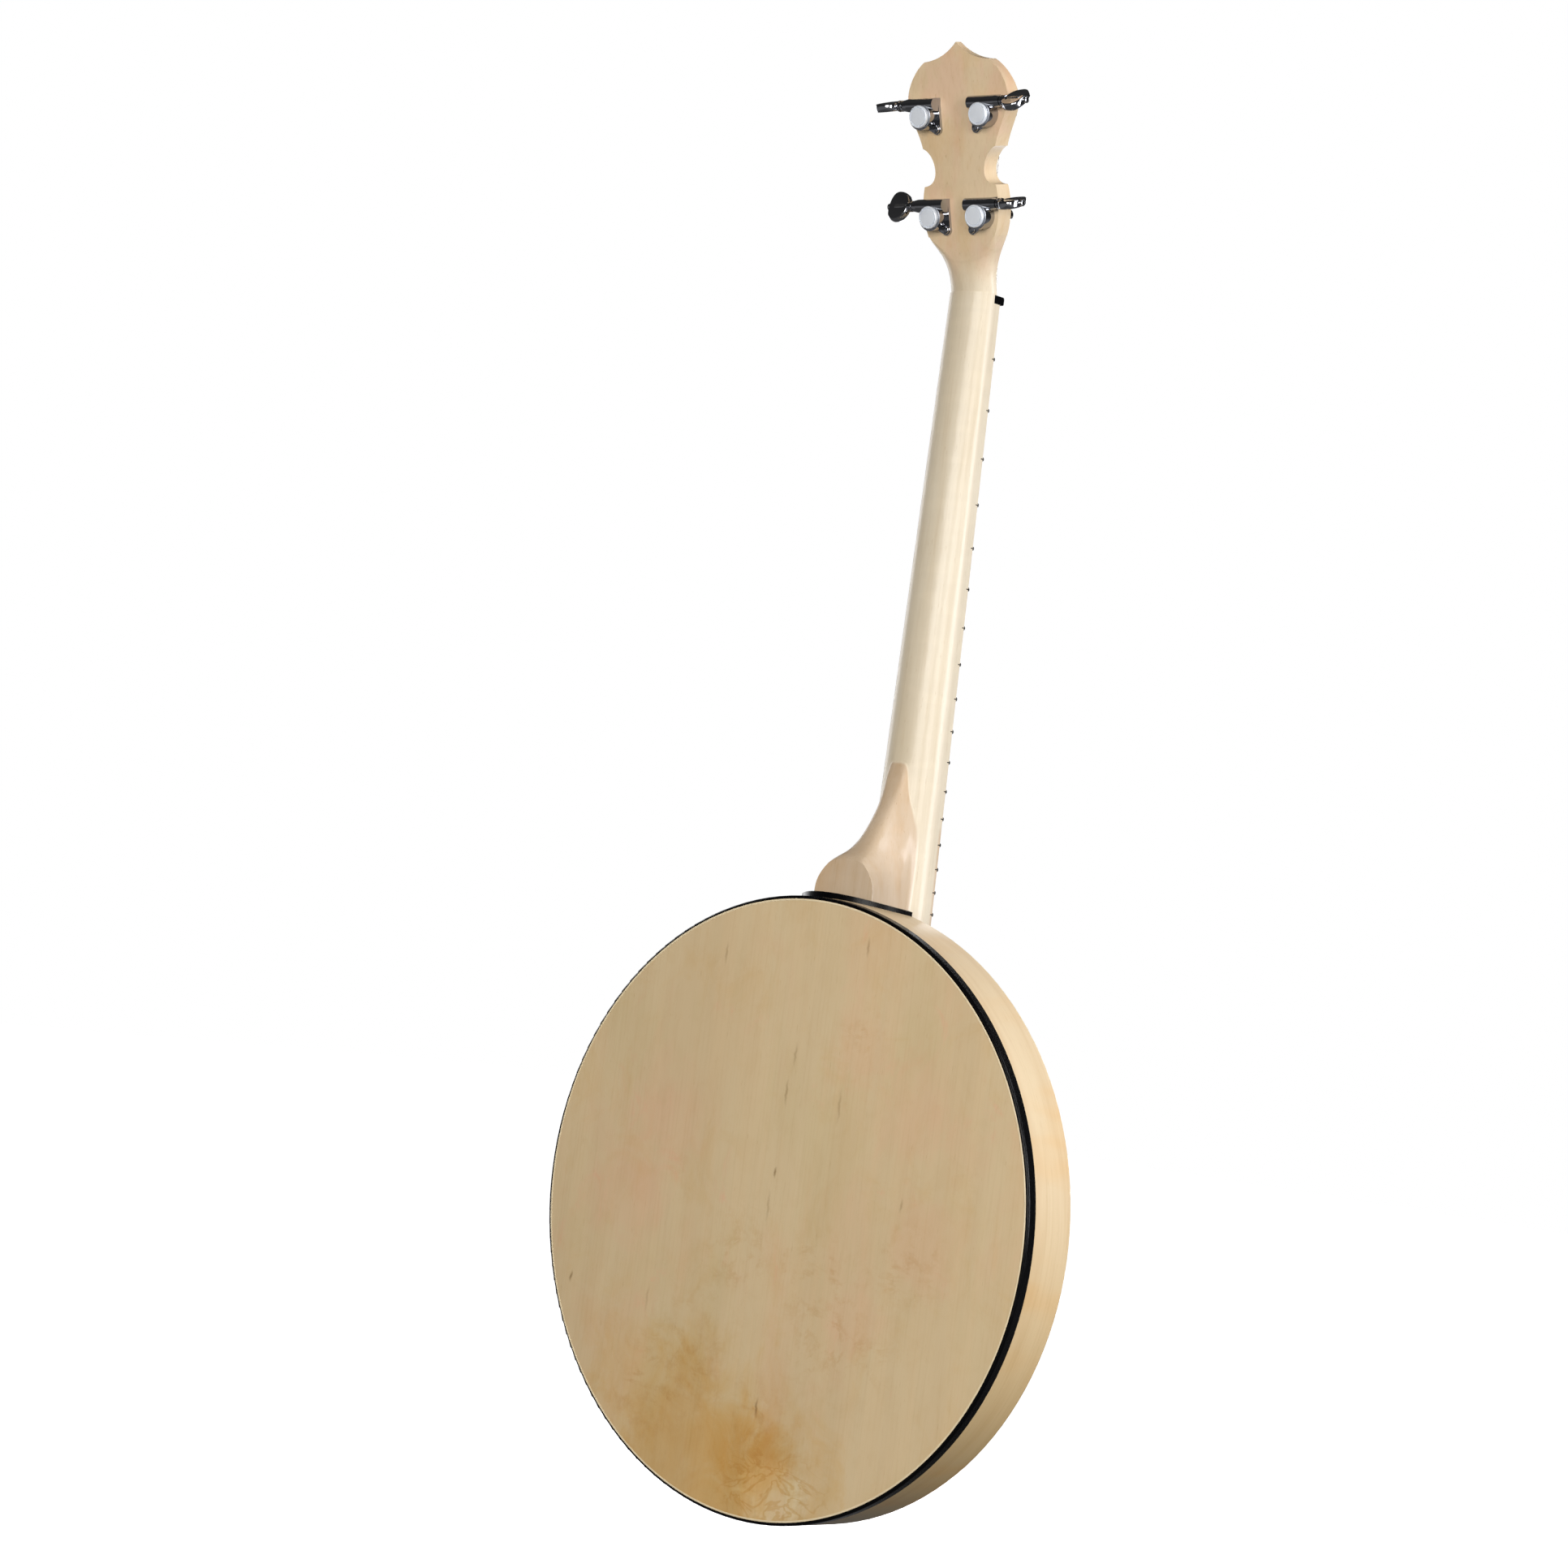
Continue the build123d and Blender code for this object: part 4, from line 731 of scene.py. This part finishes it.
# The cross recess: its two arms, and its middle above the plate.
RECESS_ARMS = ((0.0026, 0.0005, 0.0016), (0.0005, 0.0026, 0.0016))
RECESS_HEIGHT = 0.0033
BUTTON_HALF_LENGTH, BUTTON_HALF_WIDTH = 0.0066, 0.0083
BUTTON_FLARE = 18.0
BUTTON_SIDES = 72


def button_outline():
    """A thumb-shaped outline, wider towards its far end."""
    outline = []
    for k in range(BUTTON_SIDES):
        a = 2 * math.pi * k / BUTTON_SIDES
        u = BUTTON_HALF_LENGTH * math.copysign(abs(math.cos(a)) ** 0.78, math.cos(a))
        w = BUTTON_HALF_WIDTH * math.copysign(abs(math.sin(a)) ** 0.86, math.sin(a))
        outline.append((u, w * (1.0 + BUTTON_FLARE * u)))
    return outline


def outward(name):
    """The side that a tuner's button points to: 1 for +X, -1 for -X."""
    return 1 if name.startswith("treble") else -1


def make_tuner(name):
    """The tuner's cap and its button with ferrule and tip."""
    out = outward(name)
    seat_at = Vector(JOINTS["turn_post_" + name]["pos_m"])
    worm_at = Vector(JOINTS["turn_button_" + name]["pos_m"])
    seat = frame_of(seat_at, (out, 0, 0), OUT_OF_BACK)
    shape = bmesh.new()
    turned(shape, CAP_PROFILE, seat)
    finished("cap_" + name, shape, "instrument", "cap_plate", "chrome_plate", "tuner_cover_" + name)
    turn = math.radians(BUTTON_TURN[name])
    flat = OUT_OF_BACK * math.cos(turn) + UP_PEGHEAD * math.sin(turn)
    blade = frame_of(worm_at, (out, 0, 0), flat)
    shape = bmesh.new()
    turned(shape, BUTTON_PROFILE, blade, outline=button_outline(), centre=(BUTTON_MIDDLE, 0))
    along = frame_of(worm_at, flat, (out, 0, 0))
    turned(shape, FERRULE_PROFILE, along, sides=32)
    turned(shape, TIP_PROFILE, along, sides=24)
    worm = "worm_" + name
    finished("button_" + name, shape, worm, "chrome_plate", "chrome_plate", "tuner_button_" + name)
    rounded(NODES["tuner_housing_" + name], 0.0004)


def make_ear_screws():
    """The four small screws that hold the tuners' plates, with cross recesses."""
    heads = bmesh.new()
    recesses = bmesh.new()
    for name in TUNERS:
        out = outward(name)
        seat_at = Vector(JOINTS["turn_post_" + name]["pos_m"])
        seat = frame_of(seat_at, (out, 0, 0), OUT_OF_BACK)
        ear = seat @ Matrix.Translation((EAR_SCREW_AT[0], EAR_SCREW_AT[1] * out, 0))
        turned(heads, EAR_SCREW_PROFILE, ear, sides=24)
        for size in RECESS_ARMS:
            box_at(recesses, ear, size, (0, 0, RECESS_HEIGHT))
    piece = finished("ear_screws", heads, "instrument", "chrome_plate", "chrome_plate", "tuner_screws")
    carved(piece, recesses)


for tuner in TUNERS:
    make_tuner(tuner)
make_ear_screws()

# ---------------------------------------------------------------- strings
# Radii from the bass side to the treble side; the first two are wound.
STRING_RADII = (0.00038, 0.00027, 0.00019, 0.00015)
WOUND_STRINGS = 2
# The post's waist, and how far in front of the tuner's seat the string meets it.
WAIST = 0.0026
STRING_HEIGHT = 0.017
# Where the strings touch: the spacing between them, then y of the surface and z.
SADDLE_SPACING, SADDLE_Y, SADDLE_Z = 0.0105, -0.0792, -0.03565
SLOT_SPACING, SLOT_Y, SLOT_Z = 0.0068, -0.0765, NUT_Z + 0.0006
TAIL_SPACING, TAIL_Y, TAIL_Z = 0.007, -0.0716, -0.1245
SADDLE_GAP, SLOT_GAP = 0.00006, 0.00002
TIE_STEPS = 40
TURN_STEPS, POST_TURNS = 24, 3


def make_strings():
    """Each string from its loop at the tailpiece, over the bridge and nut, to its post."""
    for i, (name, radius) in enumerate(zip(TUNERS, STRING_RADII)):
        out = outward(name)
        lane = i - 1.5
        post_at = Vector(JOINTS["turn_post_" + name]["pos_m"])
        wrap = WAIST + radius + SLOT_GAP
        top = post_at - OUT_OF_BACK * STRING_HEIGHT
        arrive = top + Vector((-out * wrap, 0, 0))
        saddle = Vector((lane * SADDLE_SPACING, SADDLE_Y - radius - SADDLE_GAP, SADDLE_Z))
        slot = Vector((lane * SLOT_SPACING, SLOT_Y - radius - SLOT_GAP, SLOT_Z))
        tail = Vector((lane * TAIL_SPACING, TAIL_Y, TAIL_Z))
        shape = bmesh.new()
        tube(shape, [tail, saddle, slot, arrive], radius, 10)
        # The tie, twisted round the string where it leaves the tailpiece.
        run = (saddle - tail).normalized()
        side = Vector((1, 0, 0))
        twist = []
        for k in range(TIE_STEPS + 1):
            a = math.pi * k / 2.5
            ring = side * math.cos(a) + run.cross(side) * math.sin(a)
            twist.append(tail + run * (0.0005 + 0.0003 * k) + ring * radius * 1.9)
        tube(shape, twist, radius * 0.9, 8)
        material = "wound_steel" if i < WOUND_STRINGS else "string_steel"
        nodes = ("strings",) if i == 0 else ()
        finished("string_" + name, shape, "instrument", material, "string_steel", *nodes)
        # The turns on the post, and the half turn that takes the end back to its middle.
        shape = bmesh.new()
        start = 0.0 if out < 0 else math.pi
        coil = []
        for k in range(TURN_STEPS * POST_TURNS + TURN_STEPS // 2 + 1):
            a = start - out * 2 * math.pi * k / TURN_STEPS
            ring = side * math.cos(a) + UP_PEGHEAD * math.sin(a)
            coil.append(top + OUT_OF_BACK * (2.0 * radius * k / TURN_STEPS) + ring * wrap)
        coil.append(coil[-1] * 0.3 + (top + OUT_OF_BACK * 7 * radius) * 0.7)
        tube(shape, coil, radius, 10)
        winding = "string_winding_" + name
        finished("coil_" + name, shape, "post_" + name, "string_steel", "string_steel", winding)


make_strings()

# ---------------------------------------------------------------- pot details
HOOK_COUNT = 16
HOOK_CIRCLE, CLAW_CIRCLE = 0.14565, 0.141
HOOK_RADIUS = 0.0018
HOOK_END_Y, CLAW_Y = -0.0175, -0.0585
HOOK_BEND, BEND_STEPS = 0.0021, 8
THREAD_LENGTH, THREAD_PITCH = 0.02, 0.0007
# The radii of the thread's roots, crests and cut end, as shares of the shank's.
THREAD_ROOT, THREAD_CREST, THREAD_END = 0.88, 0.99, 0.7


def make_hooks():
    """The tension hooks: threaded shanks whose claws lie over the hoop."""
    shape = bmesh.new()
    forward = Vector((0, -1, 0))
    steps = int(THREAD_LENGTH / THREAD_PITCH * 2)
    for number in range(HOOK_COUNT):
        a = 2 * math.pi * (number + 0.5) / HOOK_COUNT
        away = Vector((math.sin(a), 0, math.cos(a)))
        points, radii = [], []
        for k in range(steps + 1):
            run = k * THREAD_PITCH / 2
            points.append(away * HOOK_CIRCLE + Vector((0, HOOK_END_Y - run, 0)))
            radii.append(HOOK_RADIUS * (THREAD_ROOT if k % 2 else THREAD_CREST))
        radii[0] = HOOK_RADIUS * THREAD_END
        points.append(away * HOOK_CIRCLE + Vector((0, HOOK_END_Y - THREAD_LENGTH - 0.0006, 0)))
        radii.append(HOOK_RADIUS)
        corner = away * (HOOK_CIRCLE - HOOK_BEND) + Vector((0, CLAW_Y + HOOK_BEND, 0))
        for k in range(BEND_STEPS + 1):
            b = math.pi / 2 * k / BEND_STEPS
            points.append(corner + (away * math.cos(b) + forward * math.sin(b)) * HOOK_BEND)
            radii.append(HOOK_RADIUS)
        tip = away * CLAW_CIRCLE + Vector((0, CLAW_Y, 0))
        points += [tip + away * 0.0006, tip + away * 0.0002, tip]
        radii += [HOOK_RADIUS, HOOK_RADIUS * 0.9, HOOK_RADIUS * 0.6]
        tube(shape, points, radii, 14)
    finished("hooks_threaded", shape, "instrument", "nickel", "nickel", "tension_hooks")


make_hooks()
rounded(NODES["resonator_back"], 0.0004)
rounded(NODES["head_film"], 0.0008)
rounded(NODES["bridge_body"], 0.0004)
rounded(NODES["tailpiece"], 0.0003, 2)
rounded(NODES["nut"], 0.0002, 2)

# ---------------------------------------------------------------- studio
FLOOR_Z = -0.42
FLOOR_SIZE = 9.0


def make_floor():
    """A white floor that neither lights the object nor shows in its metal."""
    mesh = bpy.data.meshes.new("floor")
    shape = bmesh.new()
    bmesh.ops.create_grid(shape, x_segments=2, y_segments=2, size=FLOOR_SIZE)
    shape.to_mesh(mesh)
    shape.free()
    floor = bpy.data.objects.new("floor", mesh)
    floor.location = (0, 0, FLOOR_Z)
    bpy.context.scene.collection.objects.link(floor)
    material, tree, bsdf = surface("floor_white")
    values = {
        "Base Color": (0.95, 0.95, 0.95, 1),
        "Roughness": 0.9,
        "Emission Color": (1, 1, 1, 1),
        "Emission Strength": 1.0,
    }
    set_inputs(tree, bsdf, values)
    mesh.materials.append(material)
    floor.visible_diffuse = False
    floor.visible_glossy = False


def make_light(name, place, target, size, energy, tone=(1, 1, 1)):
    """A soft rectangular lamp of that size and power, aimed at target."""
    data = bpy.data.lights.new(name, "AREA")
    data.shape = "RECTANGLE"
    data.size, data.size_y = size
    data.energy = energy
    data.color = tone
    light = bpy.data.objects.new(name, data)
    light.location = place
    aim = Vector(target) - Vector(place)
    light.rotation_euler = aim.to_track_quat("-Z", "Y").to_euler()
    bpy.context.scene.collection.objects.link(light)


# What metal sees: brightness at heights from 0, straight down, to 1, straight up.
ROOM_LEVELS = ((0.12, 0.08), (0.2, 0.2), (0.36, 0.18), (0.44, 0.06), (0.55, 0.03))
# What lights the object from below and from above.
ROOM_BELOW, ROOM_ABOVE = (0.03, 0.03, 0.03, 1), (0.12, 0.12, 0.12, 1)


def make_world():
    """White for the camera, a dim glow on what is lit, and a dark room with a low band for metal."""
    world = bpy.data.worlds.new("studio")
    world.use_nodes = True
    tree = world.node_tree
    tree.nodes.clear()
    direction = put(tree, "TexCoord").outputs["Generated"]
    height = put(tree, "SeparateXYZ", {0: direction}).outputs[2]
    reflected = put(tree, "ValToRGB", {0: spread(tree, height, -1, 1)})
    ramp = reflected.color_ramp
    ramp.elements[0].position = 0.0
    ramp.elements[0].color = (0.1, 0.1, 0.1, 1)
    ramp.elements[1].position = 1.0
    ramp.elements[1].color = (0.05, 0.05, 0.05, 1)
    for position, level in ROOM_LEVELS:
        ramp.elements.new(position).color = (level, level, level * 1.03, 1)
    soft = mixed(tree, spread(tree, height, -1, 1), ROOM_BELOW, ROOM_ABOVE)
    path = put(tree, "LightPath").outputs
    lit = mixed(tree, path["Is Glossy Ray"], soft, reflected.outputs[0])
    seen = mixed(tree, path["Is Camera Ray"], lit, (1, 1, 1, 1))
    background = put(tree, "Background", {"Color": seen, "Strength": 1.0})
    put(tree, "OutputWorld", {"Surface": background.outputs[0]})
    bpy.context.scene.world = world


POT_MIDDLE = (0, 0, 0)
NECK_MIDDLE = (0, 0, 0.3)
COOL = (0.97, 0.99, 1.05)
WARM = (1, 0.98, 0.95)
make_floor()
make_world()
make_light("key", (-1.75, -0.63, 0.42), POT_MIDDLE, (0.6, 0.8), 19, COOL)
make_light("neck_key", (-1.37, -0.5, 1.37), NECK_MIDDLE, (0.6, 0.6), 9, COOL)
make_light("side", (-1.62, 0.94, 0.48), POT_MIDDLE, (0.6, 0.8), 12)
make_light("fill", (-0.68, 1.76, 0.52), POT_MIDDLE, (1.0, 1.0), 30, WARM)
make_light("front_fill", (0.6, -2.2, 0.4), NECK_MIDDLE, (1.6, 1.6), 30)
make_light("far_side", (1.85, -0.6, 0.4), NECK_MIDDLE, (1.0, 1.4), 14)
